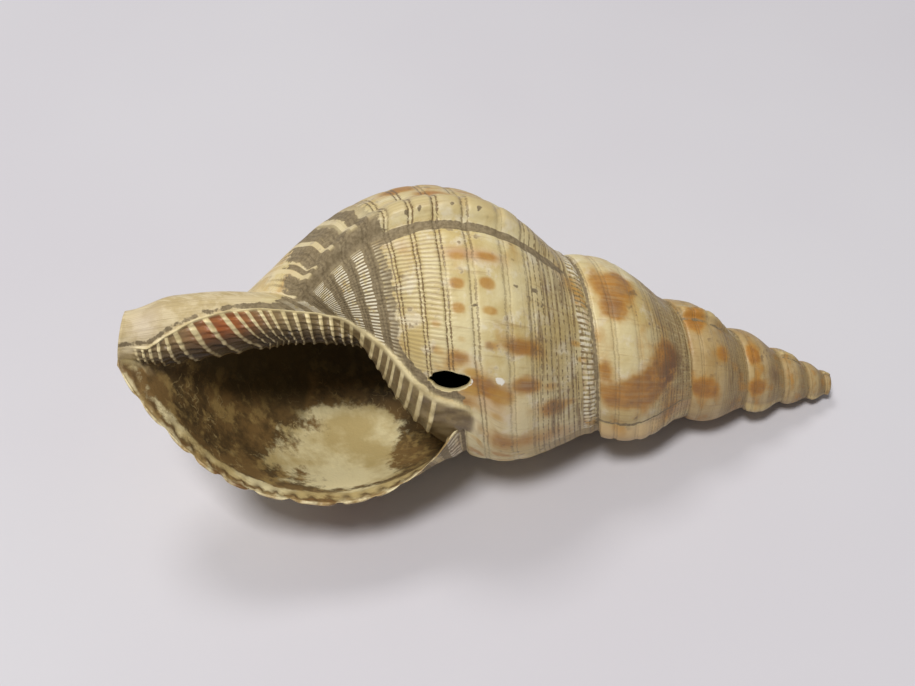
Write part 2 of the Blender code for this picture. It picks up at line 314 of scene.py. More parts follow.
@dataclass(frozen=True)
class Relief:
    """Low relief of the surface: the furrows between the cords, the beads and the callus."""

    form: ShellForm
    groove_shares: tuple[float, ...] = (1.269, 1.375, 1.457, 1.525, 1.588, 1.642, 1.692, 1.738)
    fine_shares: tuple[float, ...] = (1.072, 1.134, 1.196)
    groove_depth: float = 0.0026
    rim_places: tuple[float, ...] = (
        0.189, 0.200, 0.209, 0.219, 0.233, 0.246, 0.262, 0.285, 0.298, 0.311, 0.322, 0.328)
    rim_angles: tuple[float, ...] = (
        345.0, 333.5, 329.0, 322.5, 310.0, 301.0, 283.5, 273.0, 276.0, 287.0, 309.0, 326.0)
    ridge_places: tuple[float, ...] = (
        0.1960, 0.2025, 0.2092, 0.2151, 0.2200, 0.2243, 0.2279, 0.2305, 0.2340, 0.2378, 0.2427,
        0.2474, 0.2514, 0.2566, 0.2612, 0.2668, 0.2717, 0.2765, 0.2822, 0.2866, 0.2920, 0.2965,
        0.3014, 0.3075, 0.3129, 0.3185, 0.3215, 0.3242)
    drift_places: tuple[float, ...] = (
        0.205, 0.218, 0.232, 0.245, 0.256, 0.272, 0.282, 0.292, 0.301, 0.3075, 0.319, 0.324)
    drifts: tuple[float, ...] = (
        0.03, 0.0, -0.012, 0.02, 0.05, 0.07, 0.118, 0.183, 0.216, 0.186, 0.12, 0.05)
    ridge_height: float = 0.0012
    callus_height: float = 0.0012

    def rim(self, place: Array) -> Array:
        """Return the growth angle of the callus rim on the inner lip at each place."""
        return np.interp(place, self.rim_places, self.rim_angles)

    def callus(self, angle: Array, place: Array, inside: bool = False) -> Array:
        """Tell how far a point lies on the callus of the inner lip.

        Args:
            angle: Growth angles.
            place: Distances from the tip.
            inside: Whether the points lie inside the room, on the older whorl.

        Returns:
            0 outside the callus and 1 on it, changing over 3 degrees at its rim.
        """
        canal = rise(self.form.canal_end - 0.004, self.form.canal_end - 0.010, place)
        rim = self.rim(place)
        here = rise(rim - 1.6, rim + 1.6, angle) * canal
        if inside:
            return here
        return here * rise(0.186, 0.191, place) * (np.asarray(angle) < 360.5)

    def ridge_count(self, angle: Array, place: Array) -> Array:
        """Count the ridges of the inner lip from the notch to a point.

        Each ridge starts at the rim and drifts a little towards the tip as it runs inwards, so
        its start is found by going back along it a few times; the count is read between the
        places where the ridges start.

        Args:
            angle: Growth angles.
            place: Distances from the tip.

        Returns:
            Whole numbers on the crests.
        """
        start = np.array(place, float)
        for _ in range(10):
            drift = 0.001 * np.interp(start, self.drift_places, self.drifts)
            inwards = np.clip(angle - self.rim(start), 0.0, 84.0)
            start = 0.4 * start + 0.6 * (place + drift * inwards)
        numbers = np.arange(len(self.ridge_places), dtype=float)
        count = np.interp(start, self.ridge_places, numbers)
        count = count + np.clip(start - self.ridge_places[-1], 0.0, None) / 0.003
        count = count - np.clip(self.ridge_places[0] - start, 0.0, None) / 0.006
        return count + 0.05 * ripple(count * 0.33, angle * 0.012, 5)

    def ridged(self, place: Array) -> Array:
        """Return 1 where the inner lip is ridged and 0 in the plain hollow by the notch."""
        return rise(0.2060, 0.2085, place)

    def ridge_wave(self, angle: Array, place: Array) -> Array:
        """Return 1 on the crest of a ridge of the inner lip, falling to 0 in its furrow."""
        count = self.ridge_count(angle, place)
        return (0.5 + 0.5 * np.cos(2.0 * np.pi * count)) ** 2.2

    def cords(self, share: Array) -> Array:
        """Return depths from 0 to -1: the furrows between the broad spiral cords."""
        total = np.zeros_like(share)
        for middle in self.groove_shares:
            total = total - bell(share, middle, 0.010)
        for middle in self.fine_shares:
            total = total - 0.6 * bell(share, middle, 0.009)
        return total

    def lift(self, angle: Array, place: Array, inside: bool = False) -> Array:
        """Height of the relief above the smooth form, for the outside and the inner lip.

        Args:
            angle: Growth angles.
            place: Distances from the tip.
            inside: Whether the points lie inside the room, on the older whorl.

        Returns:
            Heights in metres along the radius.
        """
        form = self.form
        height = form.suture(angle)
        share = place / height
        behind = form.behind_varix(angle)
        on_varix = rise(-26.0, -8.0, behind) * fall(0.5, 4.0, behind)
        on_varix = np.where(angle > 60.0, on_varix, 0.8 * fall(0.0, 16.0, angle))
        low_base = rise(1.80, 1.74, share)
        strength = self.groove_depth * height * (1.0 + 2.4 * on_varix)
        outside = strength * self.cords(share) * low_base
        front = rise(222.0, 232.0, angle % 360.0)
        beads = (0.5 + 0.5 * np.cos(2.0 * np.pi * angle / 3.45)) * front + 0.5 * (1.0 - front)
        crown_cord = bell(share, 1.026, 0.012) * (0.0035 + 0.0050 * beads)
        outside = outside + height * crown_cord * rise(1.0, 1.01, share)
        outside = outside + 0.0016 * height * ripple(angle / 21.0, share * 7.0, 3)
        near_axis = rise(0.012, 0.030, form.outside_radius(angle, place))
        outside = outside * (0.25 + 0.75 * near_axis)
        callus = self.callus(angle, place, inside)
        rim = self.rim(place)
        bead = bell(angle, rim + 2.2, 2.0)
        fade = rise(rim + 3.0, rim + 8.0, angle) * fall(392.0, 412.0, angle)
        ridges = (self.ridge_wave(angle, place) - 0.45) * self.ridge_height * fade
        pleats = rise(0.224, 0.212, place)
        ridges = ridges * (0.9 + 0.1 * pleats) * self.ridged(place)
        inner = self.callus_height * (0.35 + 0.65 * bead) + ridges
        inner = inner + 0.0004 * ripple(angle / 9.0, place * 90.0, 7)
        return outside * (1.0 - callus) + inner * callus


class Part(Enum):
    """Which part of the closed surface a vertex belongs to."""

    OUTSIDE = 0
    LIP_RIM = 1
    ROOM_WALL = 2
    INNER_LIP = 3
    ROOM_END = 4


@dataclass
class Row:
    """One line of vertices: names, growth coordinates and the distance run, 0 to 1."""

    names: Array
    angle: Array
    share: Array
    run: Array


@dataclass
class Surface:
    """Vertices and triangles of the closed surface while it is being put together."""

    points: list[Array] = field(default_factory=list)
    angles: list[Array] = field(default_factory=list)
    places: list[Array] = field(default_factory=list)
    parts: list[Array] = field(default_factory=list)
    faces: list[Array] = field(default_factory=list)
    corners: list[Array] = field(default_factory=list)
    count: int = 0

    def add(self, points: Array, angle: Array, place: Array, part: Part) -> Array:
        """Store vertices.

        Args:
            points: World points, one row each.
            angle: Their growth angles.
            place: Their distances from the tip.
            part: The part of the surface that they belong to.

        Returns:
            The names of the new vertices.
        """
        size = len(points)
        self.points.append(points)
        self.angles.append(np.broadcast_to(angle, (size,)).astype(float))
        self.places.append(np.broadcast_to(place, (size,)).astype(float))
        self.parts.append(np.full(size, float(part.value)))
        names = np.arange(self.count, self.count + size)
        self.count += size
        return names

    def join(self, first: Row, second: Row, flip: bool = False) -> None:
        """Fill the strip between two rows with triangles.

        Both rows are walked at once, and each step goes to whichever next vertex comes first
        along the run, so rows with different numbers of vertices meet without gaps.

        Args:
            first: One edge of the strip.
            second: The other edge.
            flip: Whether the triangles are turned over.
        """
        steps = np.concatenate([first.run[1:] - 1e-9, second.run[1:]])
        own = np.concatenate([np.ones(len(first.run) - 1), np.zeros(len(second.run) - 1)])
        order = np.argsort(steps, kind="stable")
        own = own[order].astype(int)
        on_first = np.concatenate([[0], np.cumsum(own)[:-1]])
        on_second = np.concatenate([[0], np.cumsum(1 - own)[:-1]])
        shift = len(first.names)
        third = np.where(own == 1, on_first + 1, shift + on_second + 1)
        corners = np.stack([on_first, third, shift + on_second], -1)
        names = np.concatenate([first.names, second.names])[corners]
        angle = np.concatenate([first.angle, second.angle])[corners]
        share = np.concatenate([first.share, second.share])[corners]
        whole = (names[:, 0] != names[:, 1]) & (names[:, 1] != names[:, 2])
        whole &= names[:, 0] != names[:, 2]
        marks = np.stack([angle / 360.0, share], -1)
        names, marks = names[whole], marks[whole]
        if flip:
            names, marks = names[:, ::-1], marks[:, ::-1]
        self.faces.append(names)
        self.corners.append(marks)

    def strips(self, rows: list[Row], flip: bool = False) -> None:
        """Fill the strips between neighbouring rows."""
        for first, second in zip(rows, rows[1:]):
            self.join(first, second, flip)

    def fan(self, loop: Array, middle: int, angle: float, share: float, flip: bool) -> None:
        """Fill a closed loop with triangles to one middle vertex.

        Args:
            loop: Names of the loop's vertices in order.
            middle: Name of the middle vertex.
            angle: Growth angle written to the corners.
            share: Share written to the corners.
            flip: Whether the triangles are turned over.
        """
        after = np.roll(loop, -1)
        names = np.stack([loop, after, np.full(len(loop), middle)], -1)
        if flip:
            names = names[:, ::-1]
        marks = np.empty((len(loop), 3, 2))
        marks[..., 0] = angle / 360.0
        marks[..., 1] = share
        self.faces.append(names)
        self.corners.append(marks)


@dataclass(frozen=True)
class TritonShell:
    """The whole shell as one closed surface of growth rows and room rings."""

    form: ShellForm = ShellForm()
    whorl_steps: tuple[int, ...] = (54, 40, 28, 20, 12, 8, 5)
    base_steps_back: int = 78
    base_steps_front: int = 190
    front_start: float = 226.0
    lip_steps: int = 130
    room_steps: int = 46
    fine_until: float = 48.0
    wall: float = 0.0032
    edge_wall: float = 0.42
    room_gap: float = 0.0028
    room_end: float = 560.0
    hole_angle: float = 320.4
    hole_place: float = 0.2045
    hole_half_length: float = 0.0080
    hole_half_width: float = 0.0044
    hole_profile: tuple[tuple[float, float, float], ...] = (
        (0.004, 1.42, 0.10), (0.0002, 1.20, 0.10), (-0.0007, 1.03, 0.07), (-0.0030, 0.99, 0.05),
        (-0.012, 0.97, 0.03))
    hole_steps: int = 64
    teeth_step: float = 0.0074
    teeth_fade: float = 20.0
    canal_mark: tuple[float, float] = (300.0, 2.4)

    def row_angles(self) -> Array:
        """Return the growth angles of the outside's rows, closest at the lips and front."""
        return spaced((0.0, 14.0, 1.2), (14.0, 104.0, 3.2), (104.0, 136.0, 1.2), (136.0, 226.0, 2.8),
                      (226.0, 258.0, 0.85), (258.0, 360.0, 1.15))

    def base_steps(self, angle: float) -> int:
        """Return the number of steps between the canal end and the last whorl's top."""
        return self.base_steps_back if angle < self.front_start else self.base_steps_front

    def base_run(self, steps: int) -> Array:
        """Return parts from 0 to 1 along the base, a little closer together near the notch."""
        part = np.linspace(0.0, 1.0, steps + 1)
        return part + 0.25 * part * (1.0 - part)

    def outside_points(self, angle: Array, place: Array, relief: Relief) -> Array:
        """Return the points of the outside with its relief."""
        radius = self.form.outside_radius(angle, place) + relief.lift(angle, place)
        return self.form.place_points(angle, place, radius)

    def segments(self, angle: float) -> list[tuple[Array, Array]]:
        """Growth angles and places of one row, as one piece for the base and each turn.

        Args:
            angle: The row's growth angle on the last turn.

        Returns:
            For each piece the growth angles and places of its vertices, both ends included.
        """
        form = self.form
        top = float(form.growth * form.suture(angle))
        part = self.base_run(self.base_steps(angle))
        pieces = [(angle, form.canal_end + (top - form.canal_end) * part)]
        last = float(form.suture(360.0 * (form.turns - 1)))
        for turn in range(form.turns):
            grown = angle + 360.0 * turn
            low = float(form.suture(grown))
            if turn == form.turns - 1:
                low = last - form.tip_step * angle / 360.0
            high = float(form.growth * form.suture(grown))
            pieces.append((grown, np.linspace(high, low, self.whorl_steps[turn] + 1)))
        return [(np.full(len(place), grown), place) for grown, place in pieces]

    def outside(self, surface: Surface, relief: Relief) -> tuple[Row, Row, Array]:
        """Put in the outside: rows round the axis from the canal end to the tip.

        Args:
            surface: The surface to add to.
            relief: The relief laid over the smooth form.

        Returns:
            The row along the outer lip, the row along the inner lip, and the loop of
            vertices round the canal end.
        """
        form = self.form
        angles = self.row_angles()
        rows: list[list[Row]] = []
        for number, angle in enumerate(angles):
            pieces = self.segments(float(angle))
            last_row = number == len(angles) - 1
            row: list[Row] = []
            for order, (grown, place) in enumerate(pieces):
                if last_row and 1 <= order < len(pieces) - 1:
                    row.append(rows[0][order + 1])
                    continue
                if last_row and order == len(pieces) - 1:
                    grown, place = grown[[0, -1]], place[[0, -1]]
                share = place / form.suture(grown)
                points = self.outside_points(grown, place, relief)
                if order == 0:
                    names = surface.add(points, grown, place, Part.OUTSIDE)
                    if last_row:
                        names[-1] = rows[0][2].names[0]
                else:
                    first = rows[0][-1].names[-1] if last_row else row[-1].names[-1]
                    names = np.append(first, surface.add(points[1:], grown[1:], place[1:], Part.OUTSIDE))
                run = (place[0] - place) / (place[0] - place[-1])
                row.append(Row(names, grown, share, run))
            rows.append(row)
        for before, after in zip(rows, rows[1:]):
            for first, second in zip(before, after):
                surface.join(first, second)
        canal_loop = np.array([row[0].names[0] for row in rows])
        tip_loop = np.array([row[-1].names[-1] for row in rows])
        tip = np.concatenate(surface.points)[tip_loop]
        grown = 360.0 * form.turns
        middle = surface.add(tip.mean(0)[None] - 0.0006, grown, tip_place(form), Part.OUTSIDE)
        surface.fan(tip_loop, int(middle[0]), grown, 1.2, False)
        lip = rows[0]
        base, whorl = lip[0], lip[1]
        names = np.concatenate([base.names, whorl.names[1:]])
        share = np.concatenate([base.share, whorl.share[1:]])
        run = (share[0] - share) / (share[0] - share[-1])
        outer = Row(names, np.zeros(len(names)), share, run)
        return outer, rows[-1][0], canal_loop

    def room_ends(self, angle: Array) -> tuple[Array, Array]:
        """Places where the room starts and ends at each growth angle.

        Args:
            angle: Growth angles of the rings.

        Returns:
            The place nearest the canal end and the place nearest the tip.
        """
        form = self.form
        share = np.linspace(1.03, 1.80, 400)[None, :]
        grown = angle[:, None] + 0.0 * share
        place = share * form.suture(grown)
        gap = form.whorl_radius(grown, place, False) - self.wall_at(grown)
        gap = gap - self.inner_radius(grown, place) - 0.0004
        open_here = (gap > 0.0) & (place < form.canal_end - 0.0012)
        last = share.shape[1] - 1 - np.argmax(open_here[:, ::-1], axis=1)
        low = place[np.arange(len(angle)), last]
        top = form.suture(angle) * (1.0 + 0.038 * rise(0.0, 9.0, angle))
        blend = rise(0.0, 10.0, angle)
        low = (form.canal_end - 0.0003 * angle) * (1.0 - blend) + low * blend
        return low, top

    def wall_at(self, angle: Array) -> Array:
        """Return the wall's thickness: thin at the lip's edge, then shrinking with growth."""
        full = self.wall * self.form.growth ** (-angle / 360.0)
        return full * (self.edge_wall + 0.58 * rise(0.0, 16.0, angle))

    def inner_radius(self, angle: Array, place: Array) -> Array:
        """Return the radius of the older whorl and pillar that the room coils round."""
        return self.form.outside_radius(angle + 360.0, place, False)

    def ring(self, angle: float, low: float, top: float, outer_steps: int, inner_steps: int,
             relief: Relief) -> tuple[Array, Array, Array, Array]:
        """Outer and inner half of one ring of the room.

        The outer half is the outside moved inwards by the wall; the inner half is the older
        whorl. They share both ends, and a small gap keeps them apart between the ends.

        Args:
            angle: Growth angle of the ring.
            low: Place of the end near the canal.
            top: Place of the end near the suture.
            outer_steps: Steps along the outer half.
            inner_steps: Steps along the inner half.
            relief: The relief laid over the inner half.

        Returns:
            Points and places of the outer half, then points and places of the inner half.
        """
        form = self.form
        part = np.linspace(0.0, 1.0, outer_steps + 1)
        place = low + (top - low) * part
        grown = np.full(outer_steps + 1, angle)
        radius = form.outside_radius(grown, place) - self.wall_at(grown)
        lip_fade = 1.0 - rise(0.0, 16.0, grown)
        radius = radius + self.inside_lip(grown, place) * lip_fade
        inner = self.inner_radius(grown, place)
        gap = self.room_gap * np.sin(np.pi * np.clip(part, 0.0, 1.0)) ** 0.7
        gap = gap * form.growth ** (-angle / 360.0)
        radius = np.maximum(radius, inner + gap)
        radius[[0, -1]] = inner[[0, -1]]
        outer_points = form.place_points(grown, place, radius)
        inner_place = low + (top - low) * self.base_run(inner_steps)
        behind = np.full(inner_steps + 1, angle + 360.0)
        inner_radius = form.outside_radius(behind, inner_place, angle < 0.5)
        inner_radius = inner_radius + relief.lift(behind, inner_place, True)
        inner_points = form.place_points(behind, inner_place, inner_radius)
        return outer_points, place, inner_points, inner_place

    def inside_lip(self, angle: Array, place: Array) -> Array:
        """Return the paired teeth just inside the lip's edge and a low second ridge."""
        pair = np.cos(2.0 * np.pi * place / self.teeth_step)
        twin = np.cos(2.0 * np.pi * place / (self.teeth_step / 2.0) + 0.6)
        teeth = -0.0011 * np.clip(0.35 + 0.5 * pair + 0.55 * twin, 0.0, None) * bell(angle, 4.6, 2.6)
        second = -0.0013 * bell(angle, 12.0, 1.8) * (0.6 + 0.4 * pair)
        return teeth + second

    def room(self, surface: Surface, relief: Relief, outer_lip: Row, inner_lip: Row,
             canal_loop: Array) -> None:
        """Put in the rim of the lip, the room's wall and the room's far end.

        Args:
            surface: The surface to add to.
            relief: The relief laid over the inner lip.
            outer_lip: The outside's row along the outer lip.
            inner_lip: The outside's row along the inner lip.
            canal_loop: Names of the vertices round the canal end.
        """
        form = self.form
        angles = spaced((0.0, self.teeth_fade, 1.25), (self.teeth_fade, self.fine_until, 2.3),
                        (self.fine_until, 120.0, 4.5), (120.0, self.room_end, 11.0))
        lows, tops = self.room_ends(angles)
        lows[0], tops[0] = form.canal_end, form.suture_at_lip
        outer_rows: list[Row] = []
        inner_rows: list[Row] = []
        for number, angle in enumerate(angles):
            fine = angle < self.fine_until
            outer_steps = self.lip_steps if angle < self.teeth_fade else self.room_steps
            inner_steps = len(inner_lip.names) - 1 if fine else self.room_steps
            ends = float(lows[number]), float(tops[number])
            points, place, inner_points, inner_place = self.ring(
                float(angle), *ends, outer_steps, inner_steps, relief)
            grown = np.full(len(place), angle)
            behind = np.full(len(inner_place), angle + 360.0)
            if number == 0:
                inner_row = inner_lip
            else:
                names = surface.add(inner_points, behind, inner_place, Part.INNER_LIP)
                share = inner_place / form.suture(behind)
                inner_row = Row(names, behind, share, self.base_run(len(names) - 1))
            fresh = surface.add(points[1:-1], grown[1:-1], place[1:-1], Part.ROOM_WALL)
            names = np.concatenate([[inner_row.names[0]], fresh, [inner_row.names[-1]]])
            run = np.linspace(0.0, 1.0, len(names))
            outer_rows.append(Row(names, grown, place / form.suture(grown), run))
            inner_rows.append(inner_row)
        surface.strips(outer_rows, flip=True)
        surface.strips(inner_rows)
        self.lip_rim(surface, outer_lip, outer_rows[0], canal_loop)
        end_outer, end_inner = outer_rows[-1].names, inner_rows[-1].names
        loop = np.concatenate([end_outer, end_inner[-2:0:-1]])
        end = np.concatenate(surface.points)[loop].mean(0)
        place = float(lows[-1] + tops[-1]) / 2.0
        middle = surface.add(end[None], self.room_end, place, Part.ROOM_END)
        surface.fan(loop, int(middle[0]), self.room_end, 1.4, False)

    def lip_rim(self, surface: Surface, outer: Row, inner: Row, canal_loop: Array) -> None:
        """Round the edge between the outer lip and the room, and close the canal end.

        Each line across the rim is half an oval from the outer edge to the inner edge, bulging
        towards newer growth.

        Args:
            surface: The surface to add to.
            outer: The outside's row along the outer lip.
            inner: The room's first outer half.
            canal_loop: Names of the vertices round the canal end.
        """
        form = self.form
        points = np.concatenate(surface.points)
        outer_line = np.stack([np.interp(inner.run, outer.run, points[outer.names][:, axis])
                               for axis in range(3)], -1)
        inner_line = points[inner.names]
        place = inner.share * form.suture(inner.angle)
        ahead = form.place_points(inner.angle + 1.0, place, form.outside_radius(inner.angle, place))
        here = form.place_points(inner.angle, place, form.outside_radius(inner.angle, place))
        forward = here - ahead
        forward = forward / np.linalg.norm(forward, axis=-1, keepdims=True)
        thick = np.linalg.norm(outer_line - inner_line, axis=-1, keepdims=True)
        thick = np.minimum(thick, 0.003) * np.sin(np.pi * inner.run[:, None]) ** 0.25
        worn = 0.5 + 0.5 * ripple(place / 0.011, place / 0.004, 12)[:, None]
        worn = worn + 0.9 * np.cos(2.0 * np.pi * place / self.teeth_step)[:, None]
        rows = [outer]
        for step in range(1, 5):
            turn = math.pi * step / 5.0
            middle = 0.5 * (outer_line + inner_line)
            line = middle + 0.5 * math.cos(turn) * (outer_line - inner_line)
            line = line + forward * thick * math.sin(turn) * (0.35 + 0.5 * worn)
            names = surface.add(line[:-1], 0.0, place[:-1], Part.LIP_RIM)
            names = np.concatenate([names, inner.names[-1:]])
            rows.append(Row(names, inner.angle, inner.share, inner.run))
        rows.append(inner)
        surface.strips(rows, flip=True)
        loop = np.concatenate([canal_loop, [row.names[0] for row in rows[-2:0:-1]]])
        every = np.concatenate(surface.points)
        centre = every[loop].mean(0)
        angle, share = self.canal_mark
        inwards = centre + (every[loop] - centre) * 0.45
        ring = surface.add(inwards, angle, form.canal_end, Part.OUTSIDE)
        run = np.linspace(0.0, 1.0, len(loop) + 1)
        same = np.full(len(run), angle), np.full(len(run), share), run
        edge = Row(np.append(loop, loop[0]), *same)
        surface.join(edge, Row(np.append(ring, ring[0]), *same), flip=True)
        middle = surface.add(centre[None], angle, form.canal_end, Part.OUTSIDE)
        surface.fan(ring, int(middle[0]), angle, share, True)

    def hole_peg(self, relief: Relief) -> bpy.types.Object:
        """Make a ragged oval peg square to the wall, wider at its outer end, as a cutter.

        Args:
            relief: The relief laid over the outside.

        Returns:
            The peg's object.
        """
        form = self.form
        angle = np.array([self.hole_angle, self.hole_angle + 2.0, self.hole_angle])
        place = np.array([self.hole_place, self.hole_place, self.hole_place + 0.004])
        spots = self.outside_points(angle, place, relief)
        round_way = spots[1] - spots[0]
        along_way = spots[2] - spots[0]
        normal = np.cross(round_way, along_way)
        normal /= np.linalg.norm(normal)
        axis_point = form.place_points(angle[:1], place[:1], np.array([0.01]))[0]
        if np.dot(normal, spots[0] - axis_point) < 0.0:
            normal = -normal
        along_way /= np.linalg.norm(along_way)
        round_way = np.cross(normal, along_way)
        count = self.hole_steps
        turns = np.linspace(0.0, 2.0 * math.pi, count + 1)[:-1]
        rows = []
        for depth, wide, rough in self.hole_profile:
            wide = wide * (1.0 + rough * ripple(turns * 0.9, np.sin(turns) + depth * 90.0, 21))
            rows.append(spots[0] + normal * depth
                        + along_way * (self.hole_half_length * wide * np.cos(turns))[:, None]
                        + round_way * (self.hole_half_width * wide * np.sin(turns))[:, None])
        ends = [[spots[0] + normal * self.hole_profile[end][0]] for end in (0, -1)]
        points = np.concatenate([*rows, *ends])
        around, top = np.arange(count), count * len(rows)
        after = (around + 1) % count
        faces: list[tuple[int, ...]] = []
        for low in range(0, top - count, count):
            faces += zip(low + around, low + after, low + count + after, low + count + around)
        faces += zip(after, around, np.full(count, top))
        faces += zip(top - count + around, top - count + after, np.full(count, top + 1))
        mesh = bpy.data.meshes.new("hole_peg")
        mesh.from_pydata(points.tolist(), [], [tuple(int(i) for i in face) for face in faces])
        face_outwards(mesh)
        write_mask(mesh, "chip", np.ones(len(points)))
        return put_in("hole_peg", mesh)

    def build(self) -> bpy.types.Object:
        """Build the shell's surface, cut the side hole and mark its parts.

        Returns:
            The finished object, at the origin.
        """
        relief = Relief(self.form)
        surface = Surface()
        outer_lip, inner_lip, canal_loop = self.outside(surface, relief)
        self.room(surface, relief, outer_lip, inner_lip, canal_loop)
        points = np.concatenate(surface.points)
        faces = np.concatenate(surface.faces)
        corners = np.concatenate(surface.corners)
        used = np.zeros(len(points), bool)
        used[faces] = True
        names = np.cumsum(used) - 1
        mesh = bpy.data.meshes.new("shell_body")
        mesh.vertices.add(int(used.sum()))
        mesh.vertices.foreach_set("co", points[used].astype(np.float32).ravel())
        mesh.loops.add(3 * len(faces))
        mesh.loops.foreach_set("vertex_index", names[faces].astype(np.int32).ravel())
        mesh.polygons.add(len(faces))
        mesh.polygons.foreach_set("loop_start", np.arange(0, 3 * len(faces), 3, dtype=np.int32))
        mesh.update(calc_edges=True)
        layer = mesh.uv_layers.new(name="growth")
        layer.data.foreach_set("uv", corners.astype(np.float32).ravel())
        angle = np.concatenate(surface.angles)[used]
        place = np.concatenate(surface.places)[used]
        part = np.concatenate(surface.parts)[used]
        for name, values in MaskPlan(self, relief, part, angle, place).paint().items():
            write_mask(mesh, name, values)
        mesh.validate(verbose=True)
        face_outwards(mesh)
        shell = put_in("shell_body", mesh)
        cut_out(shell, self.hole_peg(relief))
        shell.data.polygons.foreach_set("use_smooth", np.ones(len(shell.data.polygons), bool))
        return shell


class Along(Enum):
    """Coordinates that the painting masks are worked out along."""

    ANGLE = "growth angle"
    PLACE = "distance from the tip"
    SHARE = "share of the suture's distance"
    BEHIND = "degrees behind the nearest old lip"
    PAST_RIM = "degrees past the rim of the callus"


ANGLE, PLACE, SHARE, BEHIND, PAST_RIM = Along
Step = tuple[Along, float, float]
Mark = tuple[float, float, float, float, float]


@dataclass(frozen=True)
class Marks:
    """Steps used more than once, the old seam on the spire, and tables of single marks.

    A mark is given by its growth angle, its share or place, two half widths and its strength.
    """

    last_whorl: Step = (ANGLE, 360.6, 360.4)
    past_lip: Step = (ANGLE, 59.5, 60.5)
    above_canal: Step = (PLACE, 0.284, 0.268)
    old_seam: tuple[float, ...] = (692.0, 697.2, 702.6, 708.4, 709.6, 709.6)
    seam_shares: tuple[float, ...] = (1.02, 1.10, 1.17, 1.26, 1.36, 1.45)
    dirt: tuple[Mark, ...] = (
        (245.6, 1.535, 0.8, 0.007, 1.0), (245.3, 1.500, 0.8, 0.007, 1.0), (244.6, 1.410, 0.8, 0.007, 1.0),
        (244.8, 1.330, 0.8, 0.007, 1.0), (274.3, 1.243, 0.8, 0.007, 1.0), (272.7, 1.181, 0.8, 0.007, 1.0),
        (285.5, 1.372, 0.8, 0.007, 1.0), (278.0, 1.17, 6.0, 0.05, 0.40))
    notch: tuple[Mark, ...] = ((345.0, 0.198, 9.0, 0.007, 0.8),)
    plum: tuple[Mark, ...] = (
        (656.0, 1.09, 15.0, 0.065, 1.0), (672.0, 1.14, 11.0, 0.07, 0.8), (1372.0, 1.14, 12.0, 0.07, 0.8))
    blush: tuple[Mark, ...] = (
        (264.5, 1.41, 3.0, 0.045, 1.0), (264.5, 1.325, 3.0, 0.055, 1.0), (330.0, 1.36, 9.0, 0.10, 0.7),
        (352.0, 1.20, 6.0, 0.14, 0.6))
    low_blush: tuple[Mark, ...] = ((275.0, 0.330, 40.0, 0.006, 0.9),)
    chip: tuple[Mark, ...] = ((316.2, 1.312, 2.2, 0.017, 0.9),)
    pale: tuple[Mark, ...] = ((11.0, 0.252, 8.0, 0.032, 0.35), (50.0, 0.268, 9.0, 0.010, 0.55))
    tint: tuple[Mark, ...] = ((310.0, 0.2985, 40.0, 0.013, 1.0),)
    stains: tuple[Mark, ...] = (
        (614, 1.36, 11, 0.08, 0.8), (606, 1.29, 8, 0.05, 0.6), (629, 1.36, 8, 0.06, 0.65),
        (684, 1.35, 10, 0.11, 0.85), (676, 1.24, 9, 0.07, 0.7), (652, 1.13, 12, 0.05, 0.75),
        (666, 1.16, 9, 0.06, 0.75), (700, 1.12, 13, 0.06, 0.35), (668, 1.43, 7, 0.04, 0.45),
        (322, 1.36, 6, 0.07, 0.65), (350, 1.25, 7, 0.14, 0.45), (317, 1.22, 4, 0.05, 0.55),
        (300, 1.24, 4, 0.05, 0.5), (330, 1.14, 6, 0.05, 0.5), (308, 1.43, 4, 0.04, 0.35),
        (336, 1.42, 6, 0.06, 0.45), (226, 1.44, 4, 0.05, 0.55), (214, 1.52, 5, 0.05, 0.55),
        (232, 1.31, 4, 0.04, 0.45), (204, 1.36, 6, 0.06, 0.45), (972, 1.38, 12, 0.07, 0.75),
        (1350, 1.38, 12, 0.08, 0.75), (1038, 1.36, 11, 0.1, 0.75), (1395, 1.33, 11, 0.1, 0.7),
        (1000, 1.22, 10, 0.05, 0.4), (470, 1.28, 22, 0.1, 0.7), (540, 1.15, 16, 0.09, 0.6),
        (120, 1.25, 20, 0.1, 0.6), (30, 1.3, 18, 0.1, 0.5), (180, 1.4, 22, 0.1, 0.5),
        (830, 1.25, 22, 0.12, 0.7), (1200, 1.28, 30, 0.12, 0.6), (900, 1.2, 14, 0.1, 0.5))
    blotches: tuple[Mark, ...] = (
        (266, 1.412, 2, 0.027, 0.8), (264.5, 1.324, 2.2, 0.035, 0.8), (277.5, 1.42, 2.5, 0.024, 1),
        (276, 1.33, 2.6, 0.026, 1), (287.5, 1.424, 2.4, 0.022, 1), (287, 1.328, 2, 0.026, 0.9),
        (295, 1.493, 2.2, 0.02, 0.6), (301, 1.331, 2.4, 0.026, 0.6), (301.5, 1.225, 2, 0.03, 0.55),
        (300, 1.42, 2, 0.02, 0.5), (314.5, 1.398, 2.4, 0.028, 0.75), (324, 1.31, 4.5, 0.05, 0.8),
        (325.5, 1.403, 5, 0.032, 0.8), (336, 1.33, 3, 0.03, 0.6), (313, 1.225, 2.4, 0.022, 0.5),
        (236.5, 1.42, 2.6, 0.028, 0.9), (236, 1.495, 2.4, 0.022, 0.8), (236, 1.33, 2.8, 0.03, 0.9),
        (262, 1.56, 3, 0.026, 0.45), (306, 1.49, 3, 0.026, 0.6), (294, 1.06, 2.2, 0.02, 0.8),
        (303, 1.045, 2, 0.016, 0.8), (318, 1.15, 3, 0.03, 0.6), (329, 1.09, 3, 0.03, 0.6))


